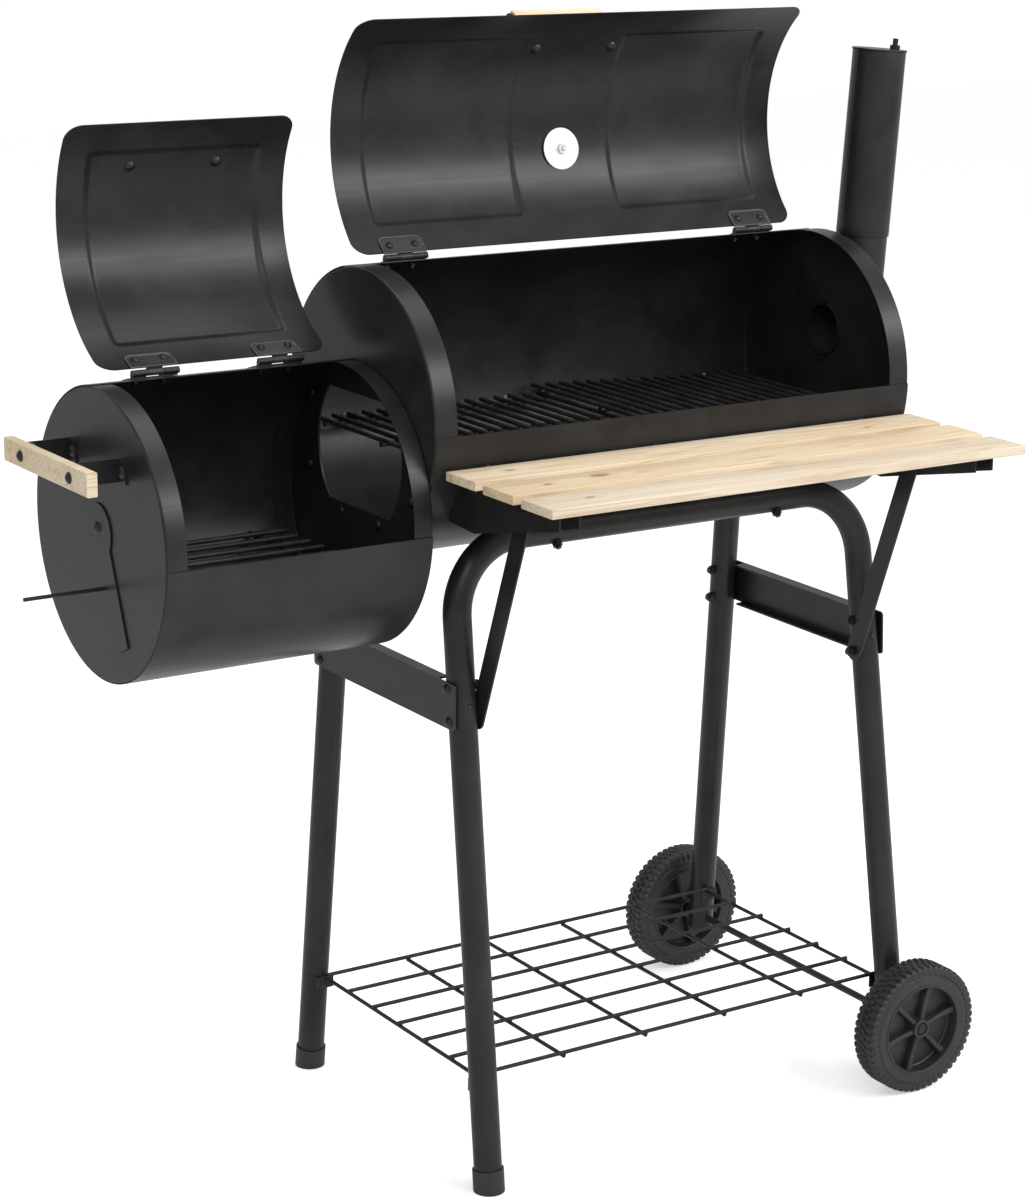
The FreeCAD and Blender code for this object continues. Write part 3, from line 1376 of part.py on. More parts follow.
def wheel(name, side):
    """A moulded wheel: tyre band, recessed web with ribs, and a hub with a pocket for the axle nut."""
    body = new_body(name)
    half = D.wheel_width / 2
    outer = D.wheel_radius
    rim = D.rim_radius
    bore = D.axle_radius + D.wheel_fit
    hub_far = half - HUB_SINK
    pocket_floor = hub_far - HUB_POCKET
    sketch = new_sketch(body, "XZ_Plane", 0.0)
    draw_polygon(sketch, [
        (bore, -half), (D.hub_radius, -half), (D.hub_radius, -WEB_HALF), (rim, -WEB_HALF), (rim, -half),
        (outer - TYRE_EDGE, -half), (outer, -half + TYRE_EDGE), (outer, half - TYRE_EDGE),
        (outer - TYRE_EDGE, half), (rim, half), (rim, WEB_HALF), (D.hub_radius, WEB_HALF),
        (D.hub_radius, hub_far), (HUB_POCKET_RADIUS, hub_far), (HUB_POCKET_RADIUS, pocket_floor),
        (bore, pocket_floor),
    ])
    revolve(body, sketch)
    sketch = new_sketch(body, "XY_Plane", -half + RIB_INSET)
    near = float(D.hub_radius) - 1.0
    far = float(rim) + 1.0
    for step in range(RIB_COUNT):
        turn = math.radians(FULL_TURN / RIB_COUNT * step + 15.0)
        out = VECTOR(math.cos(turn), math.sin(turn), 0)
        aside = VECTOR(-out.y, out.x, 0) * RIB_HALF
        corners = [out * near - aside, out * far - aside, out * far + aside, out * near + aside]
        draw_polygon(sketch, [(sized(corner.x), sized(corner.y)) for corner in corners])
    pad(body, sketch, D.wheel_width - 2 * RIB_INSET)
    spot = VECTOR(AXLE_X, side * (WHEEL_NEAR + WHEEL_FAR) / 2, float(AXLE_HEIGHT))
    body.Placement = FreeCAD.Placement(spot, turned_about_x(-90.0 * side))
    return made(body, "wheel_%s" % side_names[side])


axle_piece()
axle_rings = []
leg_clear = leg_outer_y + float(SPACER_RADIUS) * slope(LEAN_IN) + float(D.seat_gap)
for side in (FRONT, BACK):
    word = side_names[side].title()
    axle_rings.append(ring("Spacer" + word, side, SPACER_RADIUS, leg_clear, WHEEL_NEAR - 0.3))
    axle_rings.append(ring("AxleWasher" + word, side, SPACER_RADIUS - 0.7, HUB_FLOOR + 0.3, HUB_FLOOR + 1.6))
    axle_rings.append(ring("AxleNut" + word, side, SPACER_RADIUS - 1.4, HUB_FLOOR + 1.7, HUB_FLOOR + 6.7))
made(gathered(axle_rings, "AxleRings"), "axle_spacers_and_nuts")
for side in (FRONT, BACK):
    wheel("Wheel%s" % side_names[side].title(), side)


# ---------------------------------------------------------------- wire shelf and grates

# A shelf tab's reach past its screw, toward the end and toward the middle, and its height
TAB_OUTER = 8.0
TAB_INNER = 14.0
TAB_DROP = 15.0
TAB_TOP = 1.0
WIRE_SINK = 1.7
WIRE_OVERHANG = 2.0
EDGE_WIRE_REACH = 6.0


def shelf_cross_x(step):
    return D.shelf_left + step * D.shelf_pitch


def wire_shelf():
    """Long wires over cross wires, with a small tab against each leg."""
    body = new_body("WireShelf")
    height = D.shelf_height
    half = shelf_wire_half
    left = float(shelf_cross_x(0)) - WIRE_OVERHANG
    right = float(shelf_cross_x(5)) + WIRE_OVERHANG
    sketch = new_sketch(body, "YZ_Plane", left)
    for step in range(-2, 3):
        draw_circle(sketch, step * D.shelf_wire_pitch, height, D.wire_radius)
    pad(body, sketch, sized(right - left))
    sketch = new_sketch(body, "XZ_Plane", -half - D.wire_radius / 2)
    for step in range(6):
        draw_circle(sketch, shelf_cross_x(step), height - WIRE_SINK * D.wire_radius, D.wire_radius)
    pad(body, sketch, 2 * half + D.wire_radius)
    outer_left = float(D.foot_leg_x) + EDGE_WIRE_REACH
    outer_right = leg_centre(FRONT, True, height).x - EDGE_WIRE_REACH
    sketch = new_sketch(body, "YZ_Plane", outer_left)
    for side in (FRONT, BACK):
        draw_circle(sketch, side * half, height, D.wire_radius)
    pad(body, sketch, sized(outer_right - outer_left))
    for side in (FRONT, BACK):
        edge = side * (half + D.wire_radius)
        near, far = sorted((edge, edge - side * sized(SHELF_TAB)), key=float)
        for screw in shelf_screws:
            if screw.along.y * side < 0:
                continue
            outward_side = -1 if screw.seat.x < float(MAIN.middle) else 1
            ends = sorted((screw.seat.x + outward_side * TAB_OUTER, screw.seat.x - outward_side * TAB_INNER))
            sketch = new_sketch(body, "YZ_Plane", ends[0])
            draw_rectangle(sketch, near, height - TAB_DROP, far, height - TAB_TOP)
            pad(body, sketch, sized(ends[1] - ends[0]))
    return drilled(body, "wire_shelf", shelf_screws)


GRATE_INTERVALS = 15
GRATE_STEP = (D.grate_width - 2 * D.grate_bar) / GRATE_INTERVALS
CROSS_SINK = 1.8
CROSS_REACH = 0.87


def bar_x(left, index):
    """Where a bar of a cooking grate lies, from the grate's left end."""
    return left + D.grate_bar + index * GRATE_STEP


def cooking_grate(name, label, left, tilt, lift):
    """Bars across three long wires, laid flat and then set at its tilt."""
    body = new_body(name)
    sketch = new_sketch(body, "XZ_Plane", -D.grate_half)
    for step in range(GRATE_INTERVALS + 1):
        draw_circle(sketch, bar_x(sized(0.0), step), 0.0, D.grate_bar)
    pad(body, sketch, 2 * D.grate_half)
    sketch = new_sketch(body, "YZ_Plane", 0.0)
    reach = D.grate_half * CROSS_REACH
    for across in (-reach, sized(0.0), reach):
        draw_circle(sketch, across, -CROSS_SINK * D.grate_bar, D.grate_bar)
    pad(body, sketch, D.grate_width)
    place(body, (float(left), 0, float(D.grate_height) + lift), FreeCAD.Rotation(Y_DIRECTION, tilt))
    return made(body, label)


def wall_reach(radius, height):
    """How far a chamber wall of the main barrel stands from its centre plane at a height."""
    return root(radius * radius - (D.main_height - height) * (D.main_height - height))


left_start = D.grate_left
right_start = left_start + D.grate_width - D.grate_overlap
support_height = D.grate_height - D.grate_bar - D.bolt_radius - D.face_gap
SUPPORT_HEAD = 1.4
SUPPORT_TAIL = 12.0
head_seat = wall_reach(D.main_radius, support_height + SUPPORT_HEAD * D.bolt_radius)
nut_seat = wall_reach(D.main_radius - D.sheet, support_height - NUT_SIZE * D.bolt_radius) - D.seat_gap
grate_bolts = []
for along in (bar_x(left_start, 2), bar_x(left_start, 13), bar_x(right_start, 13)):
    for side in (FRONT, BACK):
        seat = VECTOR(float(along), side * float(head_seat), float(support_height))
        along_y = VECTOR(0, -side, 0)
        grate_bolts.append(Bolt(seat, along_y, head_seat - nut_seat, head=SUPPORT_HEAD, tail=SUPPORT_TAIL))
wire_shelf()
cooking_grate("GrateLeft", "cooking_grate_left", left_start, 0.0, 0.0)
drop = float((1.0 + CROSS_SINK) * D.grate_bar + D.grate_bar + D.face_gap)
held_at = float(bar_x(right_start, 13))
tilt = math.degrees(math.asin(drop / (held_at - float(right_start) - float(D.grate_overlap) / 2)))
right_lift = drop + slope(tilt) * float(D.grate_overlap) * 0.95
cooking_grate("GrateRight", "cooking_grate_right", right_start, tilt, right_lift)


COAL_BARS_EACH_WAY = 4
COAL_CROSS_SHARES = (0.12, 0.88)


def charcoal_grate():
    """Thick bars on two cross bars whose ends rest against the firebox wall."""
    body = new_body("CharcoalGrate")
    rise = D.coal_height - D.fire_height
    sketch = new_sketch(body, "YZ_Plane", 0.0)
    for step in range(-COAL_BARS_EACH_WAY, COAL_BARS_EACH_WAY + 1):
        draw_circle(sketch, step * D.coal_pitch, rise, D.coal_bar)
    pad(body, sketch, D.coal_length)
    cross_level = rise - CROSS_SINK * D.coal_bar
    inner = FIRE.radius - D.sheet
    low = cross_level - D.coal_bar
    reach = root(inner * inner - low * low) - D.seat_gap
    sketch = new_sketch(body, "XZ_Plane", -reach)
    for share in COAL_CROSS_SHARES:
        draw_circle(sketch, D.coal_length * share, cross_level, D.coal_bar)
    pad(body, sketch, 2 * reach)
    place(body, FIRE.base(FIRE.middle - D.coal_length / 2))
    return made(body, "charcoal_grate")


charcoal_grate()


# ---------------------------------------------------------------- table

def slat(name, label, order):
    body = new_body(name)
    near = -D.table_back - order * (D.slat_width + D.slat_gap)
    sketch = new_sketch(body, "YZ_Plane", D.slat_left)
    draw_rectangle(sketch, near - D.slat_width, D.table_height - D.slat_thickness, near, D.table_height)
    board = pad(body, sketch, D.slat_length)
    fillet(body, board, runs_along(X_DIRECTION), 1.0)
    own = [screw for screw in slat_screws if float(near - D.slat_width) < screw.seat.y < float(near)]
    return drilled(body, label, own)


strut_left = D.foot_leg_x + D.tube_radius + D.seat_gap
low_bolt = leg_centre(FRONT, False, D.crossbar_height - D.crossbar_bolt)
low_bolt_right = leg_centre(FRONT, True, D.crossbar_height - D.crossbar_bolt)
strut_right = sized(low_bolt_right.x - float(D.tube_radius) - WHEEL_SIDE_STRUT_GAP)
SIDES = {"left": (strut_left, 1), "right": (strut_right, -1)}
UNDER_SLATS = D.table_height - D.slat_thickness - D.face_gap
TAB_ANGLE = 202.0
SLAT_SCREW_DEPTH = 6.5

slat_screws = []
bracket_bolts = []
strut_bolts = []
for word, (plane, turn) in SIDES.items():
    middle = float(plane) - turn * float(D.bracket_width) / 2
    for order in range(3):
        across = -float(D.table_back + order * (D.slat_width + D.slat_gap) + D.slat_width / 2)
        seat = VECTOR(middle, across, float(UNDER_SLATS - D.strip))
        depth = D.strip + SLAT_SCREW_DEPTH
        slat_screws.append(Bolt(seat, Z_DIRECTION, depth, radius=SCREW_RADIUS, nut=False))
    along = float(plane) - turn * float(D.bracket_width / 2)
    seat = MAIN.point(MAIN.radius + D.seat_gap + D.strip, TAB_ANGLE, along)
    bracket_bolts.append(Bolt(seat, -outward(TAB_ANGLE), D.strip + D.seat_gap + D.sheet))
    seat = VECTOR(float(plane) + turn * float(D.strip), -float(D.strut_reach), float(D.strut_top))
    strut_bolts.append(Bolt(seat, -turn * X_DIRECTION, 2 * D.strip + D.face_gap))


# The web's back edge behind the shell, and the knee and toe of its lower edge
BRACKET_BACK = 130.0
BRACKET_KNEE = 169.0
BRACKET_TOE = 124.0
BRACKET_HEEL = 97.0
TAB_HALF_LENGTH = 14.0
# A strut's lower end is centred this far forward of its bolt, clear of the crossbar's upper nut
STRUT_FORWARD = 2.6


def table_bracket(word):
    """Two webs under a flange, shaped to the barrel at the back, with a tab bolted to the shell."""
    plane, turn = SIDES[word]
    body = new_body("TableBracket%s" % word.title())
    outer = plane - D.face_gap if turn > 0 else plane + D.bracket_width + D.face_gap
    left = outer - D.bracket_width
    top = UNDER_SLATS
    front = -D.bracket_front
    shell = MAIN.radius + D.seat_gap
    heel = D.main_height - BRACKET_HEEL
    outline = [
        (-BRACKET_BACK, top), (front, top), (front, top - D.bracket_depth), (-BRACKET_KNEE, heel),
        (-BRACKET_TOE, heel + 3.0), (-BRACKET_TOE + 14.0, heel + 27.0),
    ]
    for offset in (left, outer - D.strip):
        sketch = new_sketch(body, "YZ_Plane", offset)
        draw_polygon(sketch, [(sized(across), sized(up)) for across, up in outline])
        pad(body, sketch, D.strip)
    sketch = new_sketch(body, "YZ_Plane", left)
    draw_rectangle(sketch, front, top - D.strip, -D.table_back, top)
    pad(body, sketch, D.bracket_width)
    sketch = new_sketch(body, "YZ_Plane", left - D.strip)
    draw_circle(sketch, 0.0, D.main_height, shell)
    pocket(body, sketch, D.bracket_width + 2 * D.strip)
    half_turn = TAB_HALF_LENGTH * 180.0 / (math.pi * shell.number)
    ends = (TAB_ANGLE - half_turn, TAB_ANGLE + half_turn)
    curve = new_sketch(body, "YZ_Plane", left + D.strip / 2)
    low = draw_arc(curve, 0.0, D.main_height, shell, *ends)
    high = draw_arc(curve, 0.0, D.main_height, shell + D.strip, *ends)
    draw_join(curve, low, 1, high, 1)
    draw_join(curve, low, 2, high, 2)
    pad(body, curve, D.bracket_width - D.strip)
    return drilled(body, "table_bracket_%s" % word, slat_screws + bracket_bolts + strut_bolts)


def table_strut(word):
    """A flat bar from the leg's lower crossbar bolt up to the table bracket."""
    plane, turn = SIDES[word]
    body = new_body("TableStrut%s" % word.title())
    start = plane if turn > 0 else plane - D.strip
    foot = low_bolt if turn > 0 else low_bolt_right
    sketch = new_sketch(body, "YZ_Plane", start)
    first = (sized(foot.y - STRUT_FORWARD), sized(foot.z))
    draw_strap(sketch, first, (-D.strut_reach, D.strut_top), D.strut_width / 2)
    pad(body, sketch, D.strip)
    return drilled(body, "table_strut_%s" % word, crossbar_bolts + strut_bolts)


for order, word in enumerate(("back", "middle", "front")):
    slat("Slat%s" % word.title(), "table_slat_%s" % word, order)
for word in SIDES:
    table_bracket(word)
    table_strut(word)
bolt_group("table_bolts", slat_screws + bracket_bolts + strut_bolts)
bolt_group("frame_bolts", frame_fasteners + shelf_screws)


# ---------------------------------------------------------------- chimney

HOLE_HEIGHT = D.main_height + D.chimney_rise
CHIMNEY_RADIUS = D.elbow_radius + D.seat_gap + D.chimney_wall
lean_cos = cosine(D.chimney_lean)
lean_sin = sine(D.chimney_lean)
arc_end_up = D.elbow_bend - D.elbow_bend * lean_sin
arc_end_out = D.elbow_run + D.elbow_bend * lean_cos
TUBE_START = (D.chimney_start - HOLE_HEIGHT - arc_end_up) / lean_cos
start_out = arc_end_out + TUBE_START * lean_sin
ELBOW_INSIDE = 4.0
BEAD_HEIGHT = 2.5
TAB_HALF = 6.0


def chimney_elbow():
    """A bent pipe through the end cap with a flange outside it and a bead under the chimney tube."""
    body = new_body("ChimneyElbow")
    path = new_sketch(body, "XZ_Plane", 0.0)
    reach = TUBE_START + D.elbow_neck
    begin = VECTOR(-ELBOW_INSIDE, 0, 0)
    bend_start = VECTOR(float(D.elbow_run), 0, 0)
    centre = VECTOR(float(D.elbow_run), float(D.elbow_bend), 0)
    bend_end = VECTOR(float(arc_end_out), float(arc_end_up), 0)
    finish_out = arc_end_out + reach * lean_sin
    finish_up = arc_end_up + reach * lean_cos
    finish = VECTOR(float(finish_out), float(finish_up), 0)
    low = path.addGeometry(Part.LineSegment(begin, bend_start), False)
    circle = Part.Circle(centre, Z_DIRECTION, float(D.elbow_bend))
    turn = -math.radians(float(D.chimney_lean))
    arc = path.addGeometry(Part.ArcOfCircle(circle, -math.pi / 2, turn), False)
    high = path.addGeometry(Part.LineSegment(bend_end, finish), False)
    hold_point(path, low, 1, -ELBOW_INSIDE, 0.0)
    hold_point(path, arc, 3, D.elbow_run, D.elbow_bend)
    hold(path, "Radius", (arc,), D.elbow_bend)
    hold_point(path, high, 2, finish_out, finish_up)
    path.addConstraint(Sketcher.Constraint("Tangent", low, 2, arc, 1))
    path.addConstraint(Sketcher.Constraint("Tangent", arc, 2, high, 1))
    profile = new_sketch(body, "YZ_Plane", -ELBOW_INSIDE)
    draw_circle(profile, 0.0, 0.0, D.elbow_radius)
    draw_circle(profile, 0.0, 0.0, D.elbow_radius - D.chimney_wall)
    pipe = body.newObject("PartDesign::AdditivePipe", "ElbowPipe")
    pipe.Profile = profile
    pipe.Spine = (path, [])
    sketch = new_sketch(body, "YZ_Plane", D.face_gap)
    draw_circle(sketch, 0.0, 0.0, D.elbow_flange)
    draw_circle(sketch, 0.0, 0.0, D.elbow_radius - D.chimney_wall / 2)
    pad(body, sketch, D.strip)
    place(body, (float(D.main_length), 0, float(HOLE_HEIGHT)))
    return drilled_base(body, "ElbowDrilled", elbow_bolts)


def set_on_chimney(body):
    base = VECTOR(float(D.main_length + start_out), 0, float(D.chimney_start))
    body.Placement = FreeCAD.Placement(base, FreeCAD.Rotation(Y_DIRECTION, float(D.chimney_lean)))


elbow_bolts = []
for turn in (90.0, 270.0):
    reach = float((D.elbow_flange + D.elbow_radius) / 2)
    seat = VECTOR(float(D.main_length + D.face_gap + D.strip), reach * math.cos(math.radians(turn)),
                  float(HOLE_HEIGHT) + reach * math.sin(math.radians(turn)))
    elbow_bolts.append(Bolt(seat, -X_DIRECTION, D.strip + D.face_gap + D.sheet, radius=1.8, head=1.7))


def chimney_bead():
    """The bead round the elbow that the chimney tube stands on."""
    body = new_body("ChimneyBead")
    sketch = new_sketch(body, "XY_Plane", -D.face_gap - BEAD_HEIGHT)
    draw_circle(sketch, 0.0, 0.0, CHIMNEY_RADIUS)
    draw_circle(sketch, 0.0, 0.0, D.elbow_radius - D.chimney_wall / 2)
    pad(body, sketch, sized(BEAD_HEIGHT))
    set_on_chimney(body)
    return body


def chimney_tube():
    body = new_body("ChimneyTube")
    sketch = new_sketch(body, "XY_Plane", 0.0)
    draw_circle(sketch, 0.0, 0.0, CHIMNEY_RADIUS)
    draw_circle(sketch, 0.0, 0.0, CHIMNEY_RADIUS - D.chimney_wall)
    pad(body, sketch, D.chimney_length)
    sketch = new_sketch(body, "XY_Plane", D.chimney_length - D.strip)
    inner = D.chimney_stud_offset - TAB_HALF
    draw_rectangle(sketch, inner, -TAB_HALF, CHIMNEY_RADIUS - D.chimney_wall / 2, TAB_HALF)
    pad(body, sketch, D.strip)
    cut_upright(body, D.chimney_length - 2 * D.strip, D.chimney_stud_offset, D.bolt_radius + D.bolt_clearance)
    set_on_chimney(body)
    return made(body, "chimney_tube")


def cut_upright(body, offset, across, radius):
    sketch = new_sketch(body, "XY_Plane", offset)
    draw_circle(sketch, across, 0.0, radius)
    pocket(body, sketch, 4 * D.strip)


DISC_GAP = 0.3
STUD_HEAD = 2.2
STUD_NUT = 4.4
STUD_TAIL = 12.0


def chimney_disc():
    body = new_body("ChimneyDisc")
    low = D.chimney_length + DISC_GAP
    sketch = new_sketch(body, "XY_Plane", low)
    draw_circle(sketch, 0.0, 0.0, D.chimney_disc)
    pad(body, sketch, D.damper_sheet)
    cut_upright(body, low - D.strip, D.chimney_stud_offset, D.bolt_radius + D.pin_fit)
    set_on_chimney(body)
    return made(body, "chimney_damper_disc")


def chimney_stud():
    """A stud up through the tube's tab and the disc, with its head below and its nut above."""
    body = new_body("ChimneyStud")
    low = D.chimney_length - D.strip - D.face_gap - STUD_HEAD
    disc_top = D.chimney_length + DISC_GAP + D.damper_sheet
    levels = [
        (low, D.bolt_radius * NUT_SIZE, sized(STUD_HEAD)),
        (low, D.bolt_radius, disc_top + STUD_TAIL - low),
        (disc_top + D.seat_gap, D.bolt_radius * NUT_SIZE, sized(STUD_NUT)),
    ]
    for offset, radius, height in levels:
        sketch = new_sketch(body, "XY_Plane", offset)
        draw_circle(sketch, D.chimney_stud_offset, 0.0, radius)
        pad(body, sketch, height)
    set_on_chimney(body)
    return made(body, "chimney_stud")


joined = DOC.addObject("Part::Fuse", "ElbowWithBead")
joined.Base = chimney_elbow()
joined.Tool = chimney_bead()
made(joined, "chimney_elbow")
chimney_tube()
chimney_disc()
chimney_stud()


# ---------------------------------------------------------------- firebox end: side handle and air damper

side_bolts = []
foot_side_bolts = []
SIDE_HEIGHT = D.fire_height + D.side_handle_rise
SIDE_FACE = FIRE.left
grip_near = SIDE_FACE - D.side_handle_standoff
# A side bracket's tabs, its leg beyond the grip's bolt, and its cap bolt short of it
SIDE_TAB = 18.0
SIDE_LEG = 8.5
SIDE_CAP_BOLT = 3.0
for side in (-1, 1):
    across = side * float(D.side_bolt_half)
    seat = VECTOR(float(grip_near - D.side_handle_depth), across, float(SIDE_HEIGHT))
    side_bolts.append(Bolt(seat, X_DIRECTION, D.side_handle_depth + D.face_gap + D.strip))
    seat = VECTOR(float(SIDE_FACE - D.face_gap - D.strip), across - SIDE_CAP_BOLT, float(SIDE_HEIGHT))
    foot_side_bolts.append(Bolt(seat, X_DIRECTION, D.strip + D.face_gap + D.sheet))


def side_grip():
    body = new_body("SideGrip")
    half = D.handle_width / 2
    sketch = new_sketch(body, "XZ_Plane", -D.side_handle_length / 2)
    draw_rectangle(sketch, grip_near - D.side_handle_depth, SIDE_HEIGHT - half, grip_near, SIDE_HEIGHT + half)
    block = pad(body, sketch, D.side_handle_length)
    fillet(body, block, runs_along(Y_DIRECTION), D.grip_round / 2)
    return drilled(body, "side_handle_grip", side_bolts)


def side_bracket(name, centre):
    """A strip bent to a U: one tab behind the grip, a leg and one tab on the end cap."""
    body = new_body(name)
    half = D.handle_width / 2 - 0.5
    near = grip_near + D.face_gap
    far = SIDE_FACE - D.face_gap
    leg = centre + SIDE_LEG
    sketch = new_sketch(body, "XY_Plane", SIDE_HEIGHT - half)
    draw_polygon(sketch, [
        (near, leg), (near, leg - SIDE_TAB), (near + D.strip, leg - SIDE_TAB), (near + D.strip, leg - D.strip),
        (far - D.strip, leg - D.strip), (far - D.strip, leg - SIDE_TAB), (far, leg - SIDE_TAB), (far, leg),
    ])
    pad(body, sketch, 2 * half)
    return body


brackets = [side_bracket("SideBracketBack", D.side_bolt_half)]
brackets.append(side_bracket("SideBracketFront", -D.side_bolt_half))
side_grip()
drilled(gathered(brackets, "SideBrackets"), "side_handle_brackets", side_bolts + foot_side_bolts)

PIVOT_HEIGHT = D.fire_height + D.damper_pivot_rise
PIVOT_PLACE = (float(SIDE_FACE), 0.0, float(PIVOT_HEIGHT))
corner_turn = arc_cosine(D.damper_half / D.damper_reach)


def damper_plate():
    """A plate with a round top on its pivot, flaring down to a curved lower edge."""
    body = new_body("DamperPlate")
    start = -D.damper_gap - D.damper_sheet
    sketch = new_sketch(body, "YZ_Plane", start)
    draw_circle(sketch, 0.0, -D.damper_top_drop, D.damper_top)
    pad(body, sketch, D.damper_sheet)
    sketch = new_sketch(body, "YZ_Plane", start)
    edge = draw_arc(sketch, 0.0, 0.0, D.damper_reach, corner_turn + 180.0, FULL_TURN - corner_turn)
    neck = [(D.damper_neck_half, -D.damper_neck_drop), (-D.damper_neck_half, -D.damper_neck_drop)]
    ends = [VECTOR(float(across), float(up), 0) for across, up in neck]
    right = sketch.addGeometry(Part.LineSegment(sketch.getPoint(edge, 2), ends[0]), False)
    top = sketch.addGeometry(Part.LineSegment(ends[0], ends[1]), False)
    left = sketch.addGeometry(Part.LineSegment(ends[1], sketch.getPoint(edge, 1)), False)
    joints = [(edge, 2, right, 1), (right, 2, top, 1), (top, 2, left, 1), (left, 2, edge, 1)]
    for joint in joints:
        sketch.addConstraint(Sketcher.Constraint("Coincident", *joint))
    hold_point(sketch, top, 1, *neck[0])
    hold_point(sketch, top, 2, *neck[1])
    pad(body, sketch, D.damper_sheet)
    cut_round(body, start - D.sheet, 0.0, 0.0, D.bolt_radius + D.pin_fit)
    rod = D.damper_rod_radius + D.pin_fit
    cut_round(body, start - D.sheet, -D.damper_rod_side, -D.damper_rod_drop, rod)
    place(body, PIVOT_PLACE)
    return made(body, "damper_plate")


def damper_rod():
    body = new_body("DamperRod")
    sketch = new_sketch(body, "YZ_Plane", -D.damper_gap - D.damper_rod_length)
    draw_circle(sketch, -D.damper_rod_side, -D.damper_rod_drop, D.damper_rod_radius)
    pad(body, sketch, D.damper_rod_length)
    place(body, PIVOT_PLACE)
    return made(body, "damper_rod")


damper_plate()
damper_rod()
pivot_seat = VECTOR(float(SIDE_FACE - D.damper_gap - D.damper_sheet), 0, float(PIVOT_HEIGHT))
pivot_bolt = Bolt(pivot_seat, X_DIRECTION, D.damper_sheet + D.damper_gap + D.sheet)
joining_bolts = []
# Bolts through both end caps round the passage, as distances from the centre plane and the floor
JOINING_PLACES = ((100.0, 805.0), (105.0, 728.0), (38.0, 690.0))
for across, height in JOINING_PLACES:
    for side in (FRONT, BACK):
        seat = VECTOR(float(FIRE_RIGHT - D.sheet), side * across, height)
        joining_bolts.append(Bolt(seat, X_DIRECTION, 2 * D.sheet + D.face_gap))


# ---------------------------------------------------------------- drilled chambers and their bolts

main_shell_holes = saddle_bolts + grate_bolts + bracket_bolts
for hinge in hinges:
    if hinge.chamber is MAIN:
        main_shell_holes = main_shell_holes + hinge.barrel_screws
fire_shell_holes = [screw for hinge in hinges if hinge.chamber is FIRE for screw in hinge.barrel_screws]
drilled(main_shell, "main_barrel_shell", main_shell_holes)
drilled(main_cap_left, "main_end_cap_left", joining_bolts)
drilled(main_cap_right, "main_end_cap_right", elbow_bolts)
drilled(fire_shell, "firebox_shell", fire_shell_holes)
drilled(fire_cap_left, "firebox_end_cap_left", foot_side_bolts + [pivot_bolt])
drilled(fire_cap_right, "firebox_end_cap_right", joining_bolts)
chamber_bolts = joining_bolts + grate_bolts + elbow_bolts + barrel_leaf_screws + side_bolts + foot_side_bolts
bolt_group("chamber_bolts", chamber_bolts)
bolt_group("damper_pivot_bolt", [pivot_bolt])


# ---------------------------------------------------------------- checked, centred and written

def whole_box():
    box = FreeCAD.BoundBox()
    for item in MADE:
        box.add(item.Shape.optimalBoundingBox(False, False))
    return box


DOC.recompute()
for item in DOC.Objects:
    if item.TypeId.startswith("Sketcher") or not hasattr(item, "Shape"):
        continue
    if "Invalid" in item.State or "Error" in item.State or item.Shape.isNull() or not item.Shape.isValid():
        raise RuntimeError("%s: %s" % (item.Name, item.State))
box = whole_box()
shift = VECTOR(-box.Center.x, -box.Center.y, -box.ZMin)
for item in MADE:
    item.Placement = FreeCAD.Placement(shift, FreeCAD.Rotation()).multiply(item.Placement)
DOC.recompute()
os.makedirs("parts", exist_ok=True)
for item in MADE:
    item.Shape.exportStep("parts/%s.step" % item.Label)
print("pieces", len(MADE), "shift", shift, "box", whole_box())
print("main pin", MAIN.pin(), "firebox pin", FIRE.pin(), "air damper pivot", PIVOT_PLACE)
print("axle", AXLE_X, AXLE_HEIGHT.number, "wheels", WHEEL_NEAR, WHEEL_FAR, "chimney", start_out.number)
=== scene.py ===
import json
import math

import bmesh
import bpy
from mathutils import Matrix, Vector


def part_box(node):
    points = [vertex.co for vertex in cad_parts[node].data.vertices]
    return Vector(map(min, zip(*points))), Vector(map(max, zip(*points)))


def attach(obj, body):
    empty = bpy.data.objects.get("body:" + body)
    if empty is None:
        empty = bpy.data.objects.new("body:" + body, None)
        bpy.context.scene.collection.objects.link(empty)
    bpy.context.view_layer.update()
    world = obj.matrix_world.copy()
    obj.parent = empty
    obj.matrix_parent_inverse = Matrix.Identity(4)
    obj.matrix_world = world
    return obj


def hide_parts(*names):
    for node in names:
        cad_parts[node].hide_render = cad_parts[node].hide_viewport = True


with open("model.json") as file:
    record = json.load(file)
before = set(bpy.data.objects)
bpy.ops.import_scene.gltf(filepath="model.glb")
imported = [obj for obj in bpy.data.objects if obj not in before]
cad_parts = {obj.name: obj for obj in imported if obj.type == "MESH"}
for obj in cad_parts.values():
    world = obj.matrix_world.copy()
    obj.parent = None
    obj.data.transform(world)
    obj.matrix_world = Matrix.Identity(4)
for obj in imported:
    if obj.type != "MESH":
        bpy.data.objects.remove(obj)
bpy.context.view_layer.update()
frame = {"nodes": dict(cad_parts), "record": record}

# An offset smoker in satin black with pine slats and grips, before plain white.
# The CAD solids keep their places. Each gets a material here, and where the photo shows more form
# than a solid has, a mesh of that form stands for it and rides on the same body.
# Sizes are millimetres, counted from the main barrel's left face (X), the barrel's centre plane (Y)
# and the floor (Z); at() turns them into the frame's metres. Angles are degrees.

MM = 0.001
LEFT_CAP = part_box("main_end_cap_left")
ORIGIN = Vector((LEFT_CAP[0].x, (LEFT_CAP[0].y + LEFT_CAP[1].y) / 2, 0.0))


def at(x, y, z):
    return ORIGIN + Vector((x, y, z)) * MM


def box(node):
    """The low and the high corner of a solid's box, back in millimetres."""
    return [[round(value / MM, 3) for value in corner - ORIGIN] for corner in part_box(node)]


# ------------ camera

